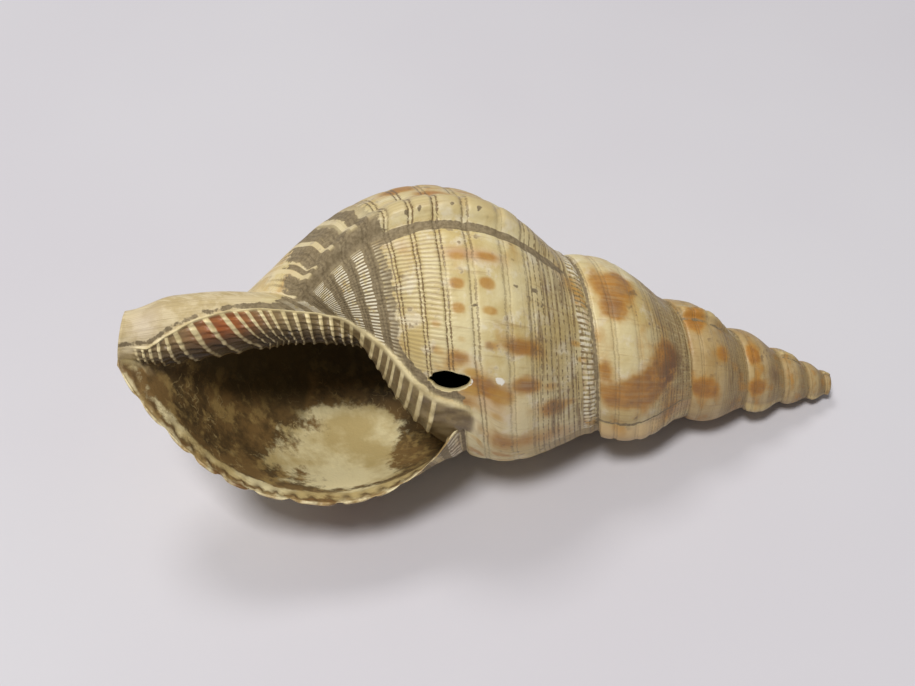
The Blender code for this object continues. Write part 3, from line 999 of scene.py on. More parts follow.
@dataclass
class MaskPlan:
    """Painting masks of the vertices, worked out from their growth coordinates."""

    shell: TritonShell
    relief: Relief
    part: Array
    angle: Array
    place: Array
    table: Marks = Marks()
    hole_reach: float = 3.8

    def along(self, way: Along) -> Array:
        """Return one coordinate of every vertex."""
        form = self.shell.form
        if way is SHARE:
            return self.place / form.suture(self.angle)
        if way is BEHIND:
            return form.behind_varix(self.angle)
        if way is PAST_RIM:
            return self.angle - self.relief.rim(self.place)
        return self.angle if way is ANGLE else self.place

    def window(self, *steps: Step) -> Array:
        """Return the product of smooth steps along the coordinates."""
        return math.prod(rise(low, high, self.along(way)) for way, low, high in steps)

    def marks(self, rows: tuple[Mark, ...], way: Along = SHARE) -> Array:
        """Return the sum of marks, each its strength times a bell along each coordinate."""
        across = self.along(way)
        return sum(strength * bell(self.angle, turned, wide) * bell(across, middle, high)
                   for turned, middle, wide, high, strength in rows)

    def dirt(self) -> Array:
        """Dirt behind the old lips, on the base and in the notch, and darker bands along the outer side of
        the callus rim and in the sutures.

        Returns:
            Values from 0 to 1.
        """
        window, table, share = self.window, self.table, self.along(SHARE)
        last = window(table.last_whorl)
        late = 6.4 + 2.2 * window((SHARE, 1.46, 1.58)) + 1.6 * window((SHARE, 1.24, 1.12))
        band = window((BEHIND, 3.5, 4.7), table.past_lip, (SHARE, 1.02, 1.13), table.above_canal)
        band = band * rise(late + 3.0, late + 0.8, self.along(BEHIND)) * (0.45 + 0.55 * last)
        fan = window((SHARE, 1.56, 1.66), (ANGLE, 142.0, 212.0), (ANGLE, 312.0, 298.0),
                     (PLACE, 0.284, 0.270), table.last_whorl)
        # a darker band along the outer side of the callus rim
        wide = 3.0 + 5.5 * window((PLACE, 0.222, 0.240))
        edge = bell(self.along(PAST_RIM), -1.0 - 0.7 * wide, wide)
        edge = edge * (1.0 - 0.5 * window((PLACE, 0.285, 0.300)))
        edge = edge * (self.angle > 250.0) * (self.place > 0.197) * last
        # darker lines in the sutures, and along the old seam on the spire
        suture = (0.40 + 0.30 * last) * bell(share, 1.002, 0.008) * window((ANGLE, 15.0, 40.0))
        suture = suture + 0.45 * bell(share, 1.457, 0.006) * (1.0 - last)
        suture = suture + 0.9 * bell(self.angle, self.seam(), 1.1) * window((SHARE, 1.01, 1.04))
        stripes = rise(0.0, 0.7, np.cos(2.0 * np.pi * share / 0.040)) * window((SHARE, 1.40, 1.25))
        dirt = self.marks(table.dirt) + self.marks(table.notch, PLACE) * last + band + fan + edge + suture
        return np.clip(dirt + 0.75 * stripes * (self.angle < 34.0), 0.0, 1.0)

    def seam(self) -> Array:
        """Return the growth angle of the old seam on the spire at each share."""
        return np.interp(self.along(SHARE), self.table.seam_shares, self.table.old_seam)

    def spots(self) -> Array:
        """Return where the regular spots stand: the last whorl's middle but for its front."""
        last = self.window(self.table.last_whorl)
        spots = 1.0 - self.window((ANGLE, 243.0, 247.0), (ANGLE, 362.0, 352.0))
        spots = spots * self.window((SHARE, 1.22, 1.27), (SHARE, 1.58, 1.50), (ANGLE, 420.0, 380.0))
        return spots * (1.0 - self.window((ANGLE, 215.0, 228.0)) * last)

    def blotches(self) -> Array:
        """Return the largest of the square blotches, strength times exp(-a ** 2.6 - b ** 2.6)."""
        share, total = self.along(SHARE), np.zeros(len(self.angle))
        for turned, middle, wide, high, strength in self.table.blotches:
            away = np.abs((self.angle - turned) / wide) ** 2.6 + np.abs((share - middle) / high) ** 2.6
            total = np.maximum(total, strength * np.exp(-away))
        return total

    def blush(self) -> Array:
        """Return the pink patches and the pink band below the old seam."""
        last, seam = self.window(self.table.last_whorl), self.seam()
        below = rise(seam + 1.0, seam + 3.0, self.angle) * rise(seam + 24.0, seam + 14.0, self.angle)
        blush = self.marks(self.table.blush) + self.marks(self.table.low_blush, PLACE) * last + 0.8 * below
        return blush * (0.55 + 0.45 * last)

    def chip(self) -> Array:
        """Return the white chips: a ring round the side hole, fuller towards the tip, and one mark."""
        shell = self.shell
        below = (self.angle - shell.hole_angle) / self.hole_reach
        along = (self.place - shell.hole_place) / shell.hole_half_length
        ring = bell(np.sqrt(below ** 2 + along ** 2), 1.08, 0.16)
        chip = ring * (0.45 + 0.55 * rise(-0.2, 0.8, -along)) + self.marks(self.table.chip)
        return chip * self.window(self.table.last_whorl)

    def room(self) -> tuple[Array, Array]:
        """Return the painted shade deeper in the room, past the callus's shadow line, and the pale patches
        of its wall, the largest a painted pool of light.
        """
        # painted shade: the wall turns dark past about 80 degrees, where the callus's shadow falls on it
        far = np.where(self.place > 0.262, 62.0, 79.0) + 60.0 * (self.place - 0.25)
        # painted light: the pale patch is a pool of light on the wall, ending at the callus's shadow line
        # near 80 degrees
        pale = self.window((ANGLE, 88.0, 78.0), (ANGLE, 20.0, 34.0), (PLACE, 0.211, 0.227))
        pale = pale * bell(self.place, 0.236, 0.028) + self.marks(self.table.pale, PLACE)
        return rise(far, far + 26.0, self.angle), pale + 0.55 * bell(self.angle, 11.0, 8.0)

    def paint(self) -> dict[str, Array]:
        """All masks by name.

        Returns:
            Values for every vertex; all but ridge_count and stain run from 0 to 1.
        """
        window, table, relief, angle, place = self.window, self.table, self.relief, self.angle, self.place
        outside, lip_rim, wall, inner_lip, end = ((self.part == kind.value).astype(float) for kind in Part)
        only_last = table.last_whorl
        last = window(only_last)
        room_shade, pale = self.room()
        face = window((ANGLE, 250.0, 262.0), (ANGLE, 366.0, 352.0))
        threaded = window((SHARE, 1.40, 1.50), (PLACE, 0.290, 0.272))
        lined = window((SHARE, 1.03, 1.06), (SHARE, 1.84, 1.79), (PLACE, 0.290, 0.272))
        lined = lined * (1.0 - 0.30 * window((SHARE, 1.44, 1.40)) - 0.30 * window((SHARE, 1.34, 1.30)))
        teeth = 0.5 + 0.5 * np.cos(2.0 * np.pi * place / self.shell.teeth_step)
        callus = relief.callus(angle, place) * outside + relief.callus(angle, place, True) * inner_lip
        found = {
            "callus": callus,
            "furrowed": window((PAST_RIM, 3.0, 6.5)),
            "ridged": relief.ridged(place),
            "teeth": teeth * bell(angle, 6.0, 5.5) * wall,
            # painted shade on the callus further in past its rim, towards the shaded room
            "callus_shade": window((PAST_RIM, 18.0, 62.0)),
            "inner": wall + end + inner_lip * window((ANGLE, 374.0, 392.0)),
            # painted shade of the room: the wall past the callus's shadow line, the far inner lip and the
            # room's end
            "room_shade": wall * room_shade + inner_lip * window((ANGLE, 378.0, 400.0)) + end,
            "dirt": self.dirt() * outside,
            "tongues": window((SHARE, 1.56, 1.66), (ANGLE, 140.0, 170.0), (ANGLE, 243.5, 239.5)),
            "bars": window((SHARE, 1.58, 1.66), (ANGLE, 248.0, 254.0), only_last, table.above_canal),
            "worn": window((BEHIND, -20.0, -9.0), (BEHIND, 3.0, 0.0), table.past_lip),
            "spots": self.spots(),
            "blotch": self.blotches(),
            "plum": self.marks(table.plum),
            "blush": self.blush(),
            "olive": window((SHARE, 1.25, 1.13)) * (1.0 - 0.60 * last) * outside,
            "edge_line": bell(place, 0.1895, 0.0016) * window((ANGLE, 330.0, 338.0), only_last) * outside,
            "threaded": threaded * (0.25 + 0.75 * face) * (1.0 - 0.55 * window((ANGLE, 282.0, 294.0))),
            "lined": lined * (0.50 + 0.50 * last) * outside,
            "near_suture": window((SHARE, 1.24, 1.17), only_last) * outside,
            "canal": window((PLACE, 0.276, 0.296), only_last) * outside,
            "tint": self.marks(table.tint, PLACE),
            # painted light on the room's wall, the lit patch before the callus's shadow line, with a few
            # smaller pale marks
            "pale": wall * np.clip(pale, 0.0, 1.0),
            "rim": lip_rim + wall * window((ANGLE, 4.0, 1.5)),
            "chip": np.clip(self.chip() * outside, 0.0, 0.9)}
        masks = {name: np.clip(values, 0.0, 1.0) for name, values in found.items()}
        masks["stain"] = 0.10 + self.marks(table.stains)
        return masks | {"ridge_count": relief.ridge_count(angle, place)}


def tip_place(form: ShellForm) -> float:
    """Return the place of the broken tip."""
    return float(form.suture(360.0 * (form.turns - 1)) - form.tip_step)


def put_in(name: str, data: bpy.types.ID) -> bpy.types.Object:
    """Make an object from its data and link it to the scene."""
    made = bpy.data.objects.new(name, data)
    bpy.context.scene.collection.objects.link(made)
    return made


def write_mask(mesh: bpy.types.Mesh, name: str, values: Array) -> None:
    """Write a painting mask on the vertices."""
    made = mesh.attributes.new(name, "FLOAT", "POINT")
    made.data.foreach_set("value", values.astype(np.float32))


def face_outwards(mesh: bpy.types.Mesh) -> None:
    """Turn the faces of a closed mesh to the outside."""
    shape = bmesh.new()
    shape.from_mesh(mesh)
    bmesh.ops.recalc_face_normals(shape, faces=shape.faces[:])
    if shape.calc_volume(signed=True) < 0.0:
        bmesh.ops.reverse_faces(shape, faces=shape.faces[:])
    LOG.info("%s: %d open edges", mesh.name, sum(1 for edge in shape.edges if not edge.is_manifold))
    shape.to_mesh(mesh)
    shape.free()


def cut_out(target: bpy.types.Object, cutter: bpy.types.Object) -> None:
    """Cut one object out of another and keep only the result.

    Args:
        target: The object that is cut.
        cutter: The closed object that is removed.
    """
    modifier = target.modifiers.new("Side hole", "BOOLEAN")
    modifier.operation = "DIFFERENCE"
    modifier.solver = "EXACT"
    modifier.object = cutter
    graph = bpy.context.evaluated_depsgraph_get()
    made = bpy.data.meshes.new_from_object(target.evaluated_get(graph))
    old = target.data
    target.modifiers.clear()
    target.data = made
    made.name = target.name
    bpy.data.meshes.remove(old)
    bpy.data.objects.remove(cutter, do_unlink=True)


Socket = bpy.types.NodeSocket
Colour = tuple[float, float, float, float]


class Tone(Enum):
    """Colours of the finish and of the floor, as screen values from 0 to 255."""

    CREAM = (226, 210, 160)
    OCHRE = (204, 180, 118)
    WHITE = (240, 230, 204)
    TAN = (158, 126, 76)
    ORANGE = (178, 120, 44)
    RUST = (146, 96, 42)
    AMBER = (186, 138, 64)
    HONEY = (194, 150, 70)
    PURPLE = (112, 78, 52)
    PINK = (196, 150, 110)
    OLIVE = (150, 127, 84)
    SPIRE = (178, 148, 98)
    WORN = (200, 178, 124)
    STREAK = (150, 112, 66)
    THREAD = (140, 108, 64)
    LINE = (126, 100, 64)
    FINE_LINE = (104, 82, 50)
    RUN = (122, 96, 60)
    BEAD = (194, 146, 72)
    GAP = (128, 104, 68)
    DIRT = (146, 129, 98)
    DARK_DIRT = (118, 102, 74)
    TONGUE = (232, 216, 176)
    CANAL = (222, 203, 160)
    CANAL_TAN = (200, 178, 128)
    CANAL_STREAK = (150, 124, 84)
    CANAL_GREY = (190, 172, 150)
    FURROW = (112, 92, 60)
    FURROW_LIGHT = (142, 122, 84)
    FURROW_RED = (170, 92, 42)
    # painted shade of the callus's furrows further in
    FURROW_PAINTED_SHADE = (62, 46, 28)
    CREST = (232, 214, 164)
    CREST_TAN = (204, 184, 132)
    # painted shade of the callus's crests further in
    CREST_PAINTED_SHADE = (150, 132, 98)
    EDGE = (228, 210, 164)
    ROOM = (136, 106, 62)
    ROOM_BROWN = (92, 72, 42)
    ROOM_TAN = (176, 146, 88)
    ROOM_THREAD = (204, 178, 122)
    ROOM_SPOT = (66, 52, 30)
    # painted light: the lit patch of the room's wall, with its cream
    ROOM_PAINTED_LIGHT = (250, 234, 182)
    ROOM_PAINTED_LIGHT_CREAM = (210, 186, 126)
    # painted shade deeper in the room
    ROOM_PAINTED_SHADE = (76, 63, 40)
    TEETH_GAP = (98, 74, 42)
    RIM = (228, 212, 166)
    RIM_TAN = (170, 142, 92)
    RIM_BROWN = (124, 90, 50)
    CHALK = (244, 238, 222)
    FLOOR = (210, 207, 210)
    FLOOR_CLOUD = (206, 202, 206)

    def linear(self) -> Colour:
        """Return the linear colour with alpha."""
        parts = [part / 255.0 for part in self.value]
        red, green, blue = (part / 12.92 if part <= 0.04045 else ((part + 0.055) / 1.055) ** 2.4
                            for part in parts)
        return red, green, blue, 1.0


@dataclass(frozen=True, eq=False)
class Signal:
    """The output of a node, which adds math nodes where it takes part in a sum or a product."""

    brush: "Brush"
    socket: Socket

    def math(self, kind: str, other: "Value" = 0.0, clamp: bool = False) -> "Signal":
        """Return the result of a math node fed by this signal and another value."""
        return self.brush.math(kind, self, other, clamp)

    def __add__(self, other: "Value") -> "Signal":
        """Return the sum."""
        return self.math("ADD", other)

    def __sub__(self, other: "Value") -> "Signal":
        """Return the difference."""
        return self.math("SUBTRACT", other)

    def __rsub__(self, other: "Value") -> "Signal":
        """Return the difference from a number."""
        return self.brush.math("SUBTRACT", other, self)

    def __mul__(self, other: "Value") -> "Signal":
        """Return the product."""
        return self.math("MULTIPLY", other)

    def __truediv__(self, other: "Value") -> "Signal":
        """Return the quotient."""
        return self.math("DIVIDE", other)

    def __abs__(self) -> "Signal":
        """Return the size without the sign."""
        return self.math("ABSOLUTE")

    def larger(self, other: "Value") -> "Signal":
        """Return the larger of two values."""
        return self.math("MAXIMUM", other)

    def wave(self, length: float, kind: str = "COSINE") -> "Signal":
        """Return a cosine or sine wave of the given length."""
        return (self * (2.0 * math.pi / length)).math(kind)

    def step(self, low: float, high: float, to_low: float = 0.0, to_high: float = 1.0) -> "Signal":
        """Return a smooth step from to_low at low to to_high at high."""
        made = self.brush.node("ShaderNodeMapRange", interpolation_type="SMOOTHSTEP")
        for socket, value in zip(made.inputs, (self, low, high, to_low, to_high)):
            self.brush.feed(socket, value)
        return Signal(self.brush, made.outputs[0])


Value = float | Signal
Layer = tuple[Tone | Signal | float, ...]


@dataclass(frozen=True)
class Brush:
    """Short calls that add shader nodes to one node tree."""

    tree: bpy.types.NodeTree

    def node(self, kind: str, **settings: object) -> bpy.types.Node:
        """Add a node and set its properties."""
        made = self.tree.nodes.new(kind)
        for name, value in settings.items():
            setattr(made, name, value)
        return made

    def feed(self, socket: Socket, value: Value | Tone) -> None:
        """Link a socket to a signal, or set its own value."""
        if isinstance(value, Signal):
            self.tree.links.new(value.socket, socket)
        else:
            socket.default_value = value.linear() if isinstance(value, Tone) else value

    def math(self, kind: str, first: Value, second: Value = 0.0, clamp: bool = False) -> Signal:
        """Return the result of a math node."""
        made = self.node("ShaderNodeMath", operation=kind, use_clamp=clamp)
        self.feed(made.inputs[0], first)
        self.feed(made.inputs[1], second)
        return Signal(self, made.outputs[0])

    def coat(self, colour: Tone | Signal, *layers: Layer) -> Signal:
        """Paint a colour over in layers.

        Args:
            colour: The lowest colour.
            layers: For each layer its colour and the parts whose product is its mask.

        Returns:
            The finished colour.
        """
        for top, *parts in layers:
            made = self.node("ShaderNodeMix", data_type="RGBA")
            self.feed(made.inputs[0], reduce(mul, parts))
            self.feed(made.inputs[6], colour)
            self.feed(made.inputs[7], top)
            colour = Signal(self, made.outputs[2])
        return colour

    def noise(self, where: Signal, scale: float, detail: float = 2.0, rough: float = 0.5) -> Signal:
        """Return a noise value around 0.5."""
        made = self.node("ShaderNodeTexNoise")
        for name, value in (("Vector", where), ("Scale", scale), ("Detail", detail), ("Roughness", rough)):
            self.feed(made.inputs[name], value)
        return Signal(self, made.outputs["Fac"])

    def grain(self, first: Signal, by_first: float, second: Signal, by_second: float,
              detail: float = 2.0, rough: float = 0.5) -> Signal:
        """Return a noise drawn out along the growth map, scaled apart in each direction."""
        made = self.node("ShaderNodeCombineXYZ")
        self.feed(made.inputs[0], first * by_first)
        self.feed(made.inputs[1], second * by_second)
        return self.noise(Signal(self, made.outputs[0]), 1.0, detail, rough)

    def mask(self, name: str) -> Signal:
        """Return a painting mask of the mesh."""
        return Signal(self, self.node("ShaderNodeAttribute", attribute_name=name).outputs["Fac"])

    def place(self) -> Signal:
        """Return the point on the object."""
        return Signal(self, self.node("ShaderNodeTexCoord").outputs["Object"])

    def growth(self) -> tuple[Signal, Signal]:
        """Return the turns and the share from the growth map."""
        parts = self.node("ShaderNodeSeparateXYZ")
        self.feed(parts.inputs[0], Signal(self, self.node("ShaderNodeUVMap", uv_map="growth").outputs[0]))
        return Signal(self, parts.outputs[0]), Signal(self, parts.outputs[1])


@dataclass(frozen=True)
class SpiralCords:
    """The spiral cords as a node group: furrow lines, dashes, threads, spots and beads."""

    shares: tuple[float, ...] = (1.010, 1.072, 1.134, 1.196, 1.269, 1.375, 1.457, 1.525, 1.588,
                                 1.642, 1.692, 1.738, 1.780)
    span: float = 0.85
    steps: float = 16.0
    line_apart: float = 0.082
    thread_step: float = 2.05
    spot_step: float = 10.4
    bead_step: float = 3.45
    bead_share: float = 1.028
    fine_step: float = 0.0165

    def cord_number(self, brush: Brush, share: Signal) -> Signal:
        """Turn the share into a cord number.

        The number runs in straight pieces between the furrows, so whole numbers lie in the
        furrows.

        Args:
            brush: The brush of the group.
            share: The share.

        Returns:
            The cord number.
        """
        curve = brush.node("ShaderNodeFloatCurve")
        line = curve.mapping.curves[0]
        line.points[0].location = (0.0, 0.0)
        line.points[1].location = (1.0, (len(self.shares) + 1.5) / self.steps)
        for number, value in enumerate(self.shares):
            line.points.new((value - 1.0) / self.span, (number + 1.0) / self.steps)
        for point in line.points:
            point.handle_type = "VECTOR"
        curve.mapping.update()
        brush.feed(curve.inputs["Value"], (share - 1.0) / self.span)
        return Signal(brush, curve.outputs[0]) * self.steps

    def build(self) -> bpy.types.NodeTree:
        """Build the group.

        Each furrow carries two dashed lines; the threads, spots and beads are waves along the
        growth angle, and the fine lines are waves along the share.

        Returns:
            The tree, with the inputs Turns and Share and one output for each pattern.
        """
        tree = bpy.data.node_groups.new("spiral_cords", "ShaderNodeTree")
        for name in ("Turns", "Share"):
            tree.interface.new_socket(name, in_out="INPUT", socket_type="NodeSocketFloat")
        brush = Brush(tree)
        turns, share = (Signal(brush, socket) for socket in brush.node("NodeGroupInput").outputs[:2])
        degrees, cord = turns * 360.0, self.cord_number(brush, share)
        cord = (brush.grain(turns, 55.0, cord, 0.6, 3.0) - 0.5) * 0.13 + cord
        off = abs((cord + 0.5).math("FRACT") - 0.5)
        width = brush.grain(degrees, 1.15, cord, 9.0, 2.0, 0.65).step(0.34, 0.62, 0.0, 0.055)
        lines = brush.math("SUBTRACT", 1.0, abs(off - self.line_apart) / (width + 0.002), clamp=True)
        phase = (brush.grain(turns, 30.0, cord, 1.3) - 0.5) * 9.0 + degrees
        on_cord = abs(share - self.bead_share).step(0.022, 0.015)
        beads = degrees.wave(self.bead_step)
        threads = degrees * (2.0 * math.pi / self.thread_step) + brush.grain(turns, 26.0, share, 7.0) * 11.0
        patterns = {
            "Lines": lines.step(0.0, 0.45) * brush.grain(turns, 11.0, cord, 1.0).step(0.30, 0.50, 0.35, 1.0),
            "Off": off,
            "Threads": threads.math("SINE") * 0.5 + 0.5,
            "Spots": phase.wave(self.spot_step).step(0.0, 0.9)
            * abs(cord.math("FRACT") - 0.5).step(0.44, 0.20),
            "Fine": share.wave(self.fine_step, "SINE").step(0.45, 0.95)
            * brush.grain(degrees, 0.55, share, 120.0, 2.0, 0.6).step(0.44, 0.56),
            "Bead": on_cord * beads.step(-0.35, 0.15),
            "Gap": on_cord * beads.step(-0.25, -0.75)}
        for name in patterns:
            tree.interface.new_socket(name, in_out="OUTPUT", socket_type="NodeSocketFloat")
        result = brush.node("NodeGroupOutput")
        for name, pattern in patterns.items():
            brush.feed(result.inputs[name], pattern)
        return tree


@dataclass(frozen=True)
class Noises:
    """Noises of several sizes, coarse to fine, that all layers share."""

    where: Signal
    coarse: Signal
    middle: Signal
    ragged: Signal
    fine: Signal


@dataclass(frozen=True)
class OldShell:
    """The shell's worn finish: cream cords, brown blotches, dirt, inner lip and dark room."""

    cords: SpiralCords = SpiralCords()
    roughness: float = 0.46
    bump_strength: float = 0.75
    bump_depth: float = 0.0006

    def outside(self, brush: Brush, noise: Noises) -> tuple[Signal, Signal, Signal]:
        """Paint the outside of the shell.

        Args:
            brush: The brush of the material.
            noise: The shared noises.

        Returns:
            The colour, the height of the fine relief and the mask of the dirt.
        """
        turns, share = brush.growth()
        coarse, middle, ragged, mask = noise.coarse, noise.middle, noise.ragged, brush.mask
        group = brush.node("ShaderNodeGroup", node_tree=self.cords.build())
        brush.feed(group.inputs["Turns"], turns)
        brush.feed(group.inputs["Share"], share)
        cords = {socket.name: Signal(brush, socket) for socket in group.outputs}
        off, threads, lined = cords["Off"], cords["Threads"], mask("lined")
        lines = cords["Lines"] * lined
        streaks = brush.grain(turns, 170.0, share, 5.0, 3.0, 0.6)
        patch = brush.grain(turns, 13.0, share, 7.0, 4.0, 0.55)
        runs = brush.grain(turns, 9.0, share, 95.0)
        spire, olive, near, blush = turns.step(1.5, 2.6), mask("olive"), mask("near_suture"), mask("blush")
        close = near.larger(olive)
        stain = (patch - 0.5) * 1.1 + mask("stain")
        brown = brush.coat(
            Tone.ORANGE, (Tone.RUST, middle.step(0.34, 0.66)), (Tone.AMBER, stain.step(0.60, 0.25)))
        spots = cords["Spots"] * mask("spots") * patch.step(0.36, 0.56)
        marks = ((middle - 0.5) * 0.55 + mask("blotch")).step(0.18, 0.72).larger(spots)
        canal = brush.coat(
            Tone.CANAL, (Tone.CANAL_TAN, middle.step(0.40, 0.62)),
            (Tone.CANAL_STREAK, streaks.step(0.46, 0.66), 0.40), (Tone.CANAL_GREY, blush, 0.6))
        colour = brush.coat(
            Tone.CREAM,
            (Tone.OCHRE, coarse.step(0.38, 0.64)),
            (Tone.WHITE, middle.step(0.50, 0.68), 0.55),
            (Tone.SPIRE, spire, 0.80),
            (Tone.OLIVE, olive, streaks.step(0.30, 0.52, 0.55, 1.0), 0.80),
            (Tone.TAN, spire, patch.step(0.40, 0.62), 0.55),
            (Tone.ORANGE, spire, patch.step(0.54, 0.70), 0.45),
            (Tone.WORN, mask("worn"), 0.7),
            (Tone.PINK, blush, 0.75),
            (brown, stain.step(0.12, 0.46), streaks.step(0.66, 0.40, 0.84, 1.0), 0.94),
            (brush.coat(Tone.HONEY, (Tone.ORANGE, coarse.step(0.4, 0.6))), marks, 0.80),
            (Tone.PURPLE, mask("plum"), middle.step(0.34, 0.52), 0.85),
            (Tone.STREAK, streaks.step(0.55, 0.72), 0.38),
            (Tone.THREAD, mask("threaded"), threads.step(0.60, 0.18), 0.50),
            (Tone.FINE_LINE, cords["Fine"], close, 0.85),
            (Tone.LINE, lines, 0.92),
            (Tone.RUN, runs.step(0.52, 0.62), close, middle.step(0.34, 0.52, 0.4, 1.0), 0.72),
            (brush.coat(Tone.WHITE, (Tone.BEAD, patch.step(0.50, 0.58))),
             cords["Bead"], near, ragged.step(0.38, 0.52), 0.75),
            (Tone.GAP, cords["Gap"], near, middle.step(0.36, 0.56), 0.75),
            (Tone.LINE, brush.noise(noise.where, 240.0).step(0.60, 0.68), coarse.step(0.48, 0.60), 0.7),
            (canal, mask("canal")))
        # the middles of the tongues and of the thread bars stay clean
        edge = (ragged - 0.5) * 0.30 + off
        comb = share.wave(self.cords.fine_step).step(-0.45, 0.15).larger(share.step(1.695, 1.650))
        tongue = mask("tongues") * edge.step(0.25, 0.31) * comb
        bar = mask("bars") * edge.step(0.22, 0.28) * threads.step(0.42, 0.60)
        dirty = (ragged - 0.5 + mask("dirt")).step(0.34, 0.50) * (1.0 - tongue.larger(bar))
        grime = brush.coat(Tone.DIRT, (Tone.DARK_DIRT, noise.fine.step(0.32, 0.66)))
        colour = brush.coat(
            colour, (Tone.WHITE, bar, ragged.step(0.36, 0.5), 0.9), (Tone.TONGUE, tongue, 0.5),
            (grime, dirty, 0.95))
        height = lines * -0.5 + off.step(0.20, 0.06) * lined * -0.6 + threads * mask("threaded") * 0.5
        return colour, height + streaks * 0.5, dirty

    def inner_lip(self, brush: Brush, noise: Noises) -> Signal:
        """Paint the callus: white ridges over brown furrows and a pale rim, with painted shade further in
        past its rim.
        """
        # the mask past the callus rim paints shade on the furrows and crests further in
        middle, callus_shade = noise.middle, brush.mask("callus_shade")
        wave = brush.mask("ridge_count").wave(1.0) + (noise.ragged - 0.5) * 0.3
        wave = (wave + 1.0) * brush.mask("ridged") + 0.06 - callus_shade * 0.40
        ground = brush.coat(
            Tone.FURROW, (Tone.FURROW_LIGHT, middle.step(0.36, 0.62)),
            (Tone.FURROW_RED, brush.mask("tint"), noise.coarse.step(0.34, 0.50)),
            (Tone.FURROW_PAINTED_SHADE, callus_shade, 0.92))
        return brush.coat(
            Tone.CREST, (Tone.CREST_TAN, middle.step(0.40, 0.66)), (Tone.CREST_PAINTED_SHADE, callus_shade, 0.7),
            (ground, wave.step(1.74, 1.28), brush.mask("furrowed"), 0.97),
            (Tone.EDGE, brush.mask("edge_line")))

    def chamber(self, brush: Brush, noise: Noises) -> Signal:
        """Paint the room: painted shade deeper in, mottled wall with thin pale threads, and a pale patch
        that is a painted pool of light.
        """
        coarse, middle, mottle = noise.coarse, noise.middle, brush.noise(noise.where, 62.0, 6.0, 0.68)
        thread = abs(brush.noise(noise.where, 85.0, 3.0, 0.55) - 0.5).step(0.016, 0.004)
        pale = ((mottle - 0.5) * 2.3 + brush.mask("pale")).step(0.32, 0.66)
        return brush.coat(
            Tone.ROOM,
            (Tone.ROOM_BROWN, mottle.step(0.40, 0.60)),
            (Tone.ROOM_TAN, middle.step(0.50, 0.66), 0.8),
            (Tone.ROOM_THREAD, thread, coarse.step(0.40, 0.56), noise.ragged.step(0.42, 0.56), 0.6),
            (Tone.ROOM_SPOT, mottle.step(0.58, 0.68), 0.7),
            # painted light: the lit patch of the room's wall
            (brush.coat(Tone.ROOM_PAINTED_LIGHT, (Tone.ROOM_PAINTED_LIGHT_CREAM, coarse.step(0.40, 0.62))), pale, 0.92),
            # painted shade past the callus's shadow line and deeper in the room
            (Tone.ROOM_PAINTED_SHADE, brush.mask("room_shade"), 0.86),
            (Tone.TEETH_GAP, brush.mask("teeth"), middle.step(0.36, 0.54), 0.85))

    def material(self) -> bpy.types.Material:
        """Build the material.

        Returns:
            The finished material.
        """
        made = bpy.data.materials.new("old_shell")
        made.use_nodes = True
        inputs = made.node_tree.nodes["Principled BSDF"].inputs
        brush = Brush(made.node_tree)
        where = brush.place()
        noise = Noises(where, brush.noise(where, 38.0, 4.0, 0.6), brush.noise(where, 120.0, 4.0, 0.62),
                       brush.noise(where, 310.0, 3.0, 0.6), brush.noise(where, 620.0, 3.0, 0.6))
        colour, height, dirty = self.outside(brush, noise)
        callus, inner = brush.mask("callus"), brush.mask("inner")
        rim = brush.coat(Tone.RIM, (Tone.RIM_TAN, noise.middle.step(0.42, 0.60)),
                         (Tone.RIM_BROWN, noise.coarse.step(0.54, 0.62)))
        chip = (noise.ragged - 0.5) * 0.9 + brush.mask("chip")
        colour = brush.coat(
            colour, (self.inner_lip(brush, noise), callus), (self.chamber(brush, noise), inner),
            (rim, brush.mask("rim")), (Tone.CHALK, chip.step(0.40, 0.52)))
        brush.feed(inputs["Base Color"], colour)
        rough = (noise.middle - 0.5) * 0.35 + self.roughness + dirty * 0.3
        brush.feed(inputs["Roughness"], (rough + inner * 0.12).math("ADD", 0.0, clamp=True))
        bump = brush.node("ShaderNodeBump")
        height = height * (1.0 - callus.larger(inner)) + noise.fine * 0.35 + noise.middle * 0.6
        bump_inputs = {"Strength": self.bump_strength, "Distance": self.bump_depth, "Height": height}
        for name, value in bump_inputs.items():
            brush.feed(bump.inputs[name], value)
        brush.feed(inputs["Normal"], Signal(brush, bump.outputs[0]))
        return made


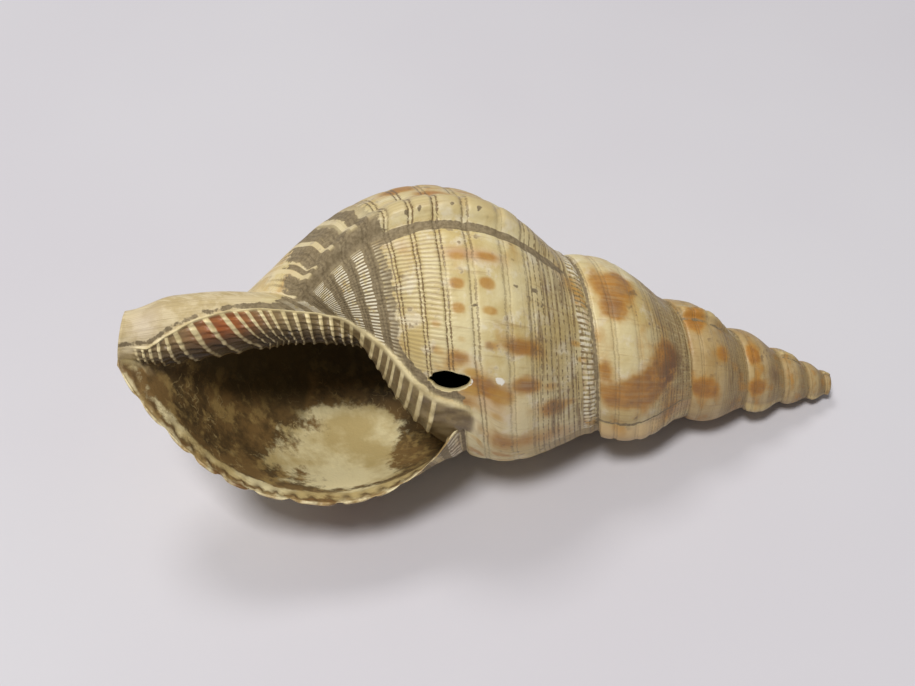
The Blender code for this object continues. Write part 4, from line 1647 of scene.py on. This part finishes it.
@dataclass(frozen=True)
class Studio:
    """Pale floor, soft light and the camera at the photograph's angle."""

    camera_place: tuple[float, float, float] = (-0.0614274, -0.4001550, 0.5058586)
    camera_look: tuple[float, float, float] = (0.0716739, 0.6643692, -0.7439600)
    sensor: float = 36.0
    lens: float = 36.0 * 1400.0 / 915.0
    floor_reach: float = 8.0
    floor_roughness: float = 0.75
    sky: Colour = (0.80, 0.80, 0.83, 1.0)
    sky_strength: float = 0.24
    lamps: tuple[tuple[str, tuple[float, float, float], float, float], ...] = (
        ("key", (-0.72, -0.94, 2.95), 0.70, 70.0), ("back", (-0.60, 1.30, 2.90), 0.90, 28.0))

    def build(self) -> None:
        """Make the floor, the lights, the world and the camera."""
        self.floor()
        for name, place, size, power in self.lamps:
            data = bpy.data.lights.new(name, "AREA")
            data.size, data.energy = size, power
            self.stand(name, data, place, -Vector(place))
        scene = bpy.context.scene
        scene.view_settings.view_transform = "Standard"
        scene.world = bpy.data.worlds.new("studio")
        scene.world.use_nodes = True
        inputs = scene.world.node_tree.nodes["Background"].inputs
        inputs["Color"].default_value, inputs["Strength"].default_value = self.sky, self.sky_strength
        data = bpy.data.cameras.new("camera")
        data.sensor_width, data.lens = self.sensor, self.lens
        scene.camera = self.stand("camera", data, self.camera_place, Vector(self.camera_look))

    def floor(self) -> None:
        """Lay the floor below the shell."""
        mesh = bpy.data.meshes.new("floor")
        level, reach = float(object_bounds()[0][2]), self.floor_reach
        corners = [(x * reach, y * reach, level) for x, y in ((-1, -1), (1, -1), (1, 1), (-1, 1))]
        mesh.from_pydata(corners, [], [(0, 1, 2, 3)])
        paper = bpy.data.materials.new("floor_paper")
        paper.use_nodes = True
        inputs = paper.node_tree.nodes["Principled BSDF"].inputs
        brush = Brush(paper.node_tree)
        cloud = brush.noise(brush.place(), 3.0, 3.0).step(0.3, 0.7)
        brush.feed(inputs["Base Color"], brush.coat(Tone.FLOOR, (Tone.FLOOR_CLOUD, cloud)))
        brush.feed(inputs["Roughness"], self.floor_roughness)
        mesh.materials.append(paper)
        floor = put_in("floor", mesh)
        floor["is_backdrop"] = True

    def stand(self, name: str, data: bpy.types.ID, place: tuple[float, float, float],
              look: Vector) -> bpy.types.Object:
        """Put in a lamp or the camera at a place, looking along a direction."""
        made = put_in(name, data)
        made.location = place
        made.rotation_mode = "QUATERNION"
        made.rotation_quaternion = look.to_track_quat("-Z", "Y")
        return made


def main() -> None:
    """Build, dress, light and report the shell."""
    logging.basicConfig(level=logging.INFO, format="%(name)s: %(message)s")
    shell = TritonShell().build()
    LOG.info("%s: %d triangles", shell.name, len(shell.data.polygons))
    shell.data.materials.clear()
    shell.data.materials.append(OldShell().material())
    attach(shell, "root")
    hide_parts("triton_shell")
    Studio().build()


if __name__ == "__main__":
    main()
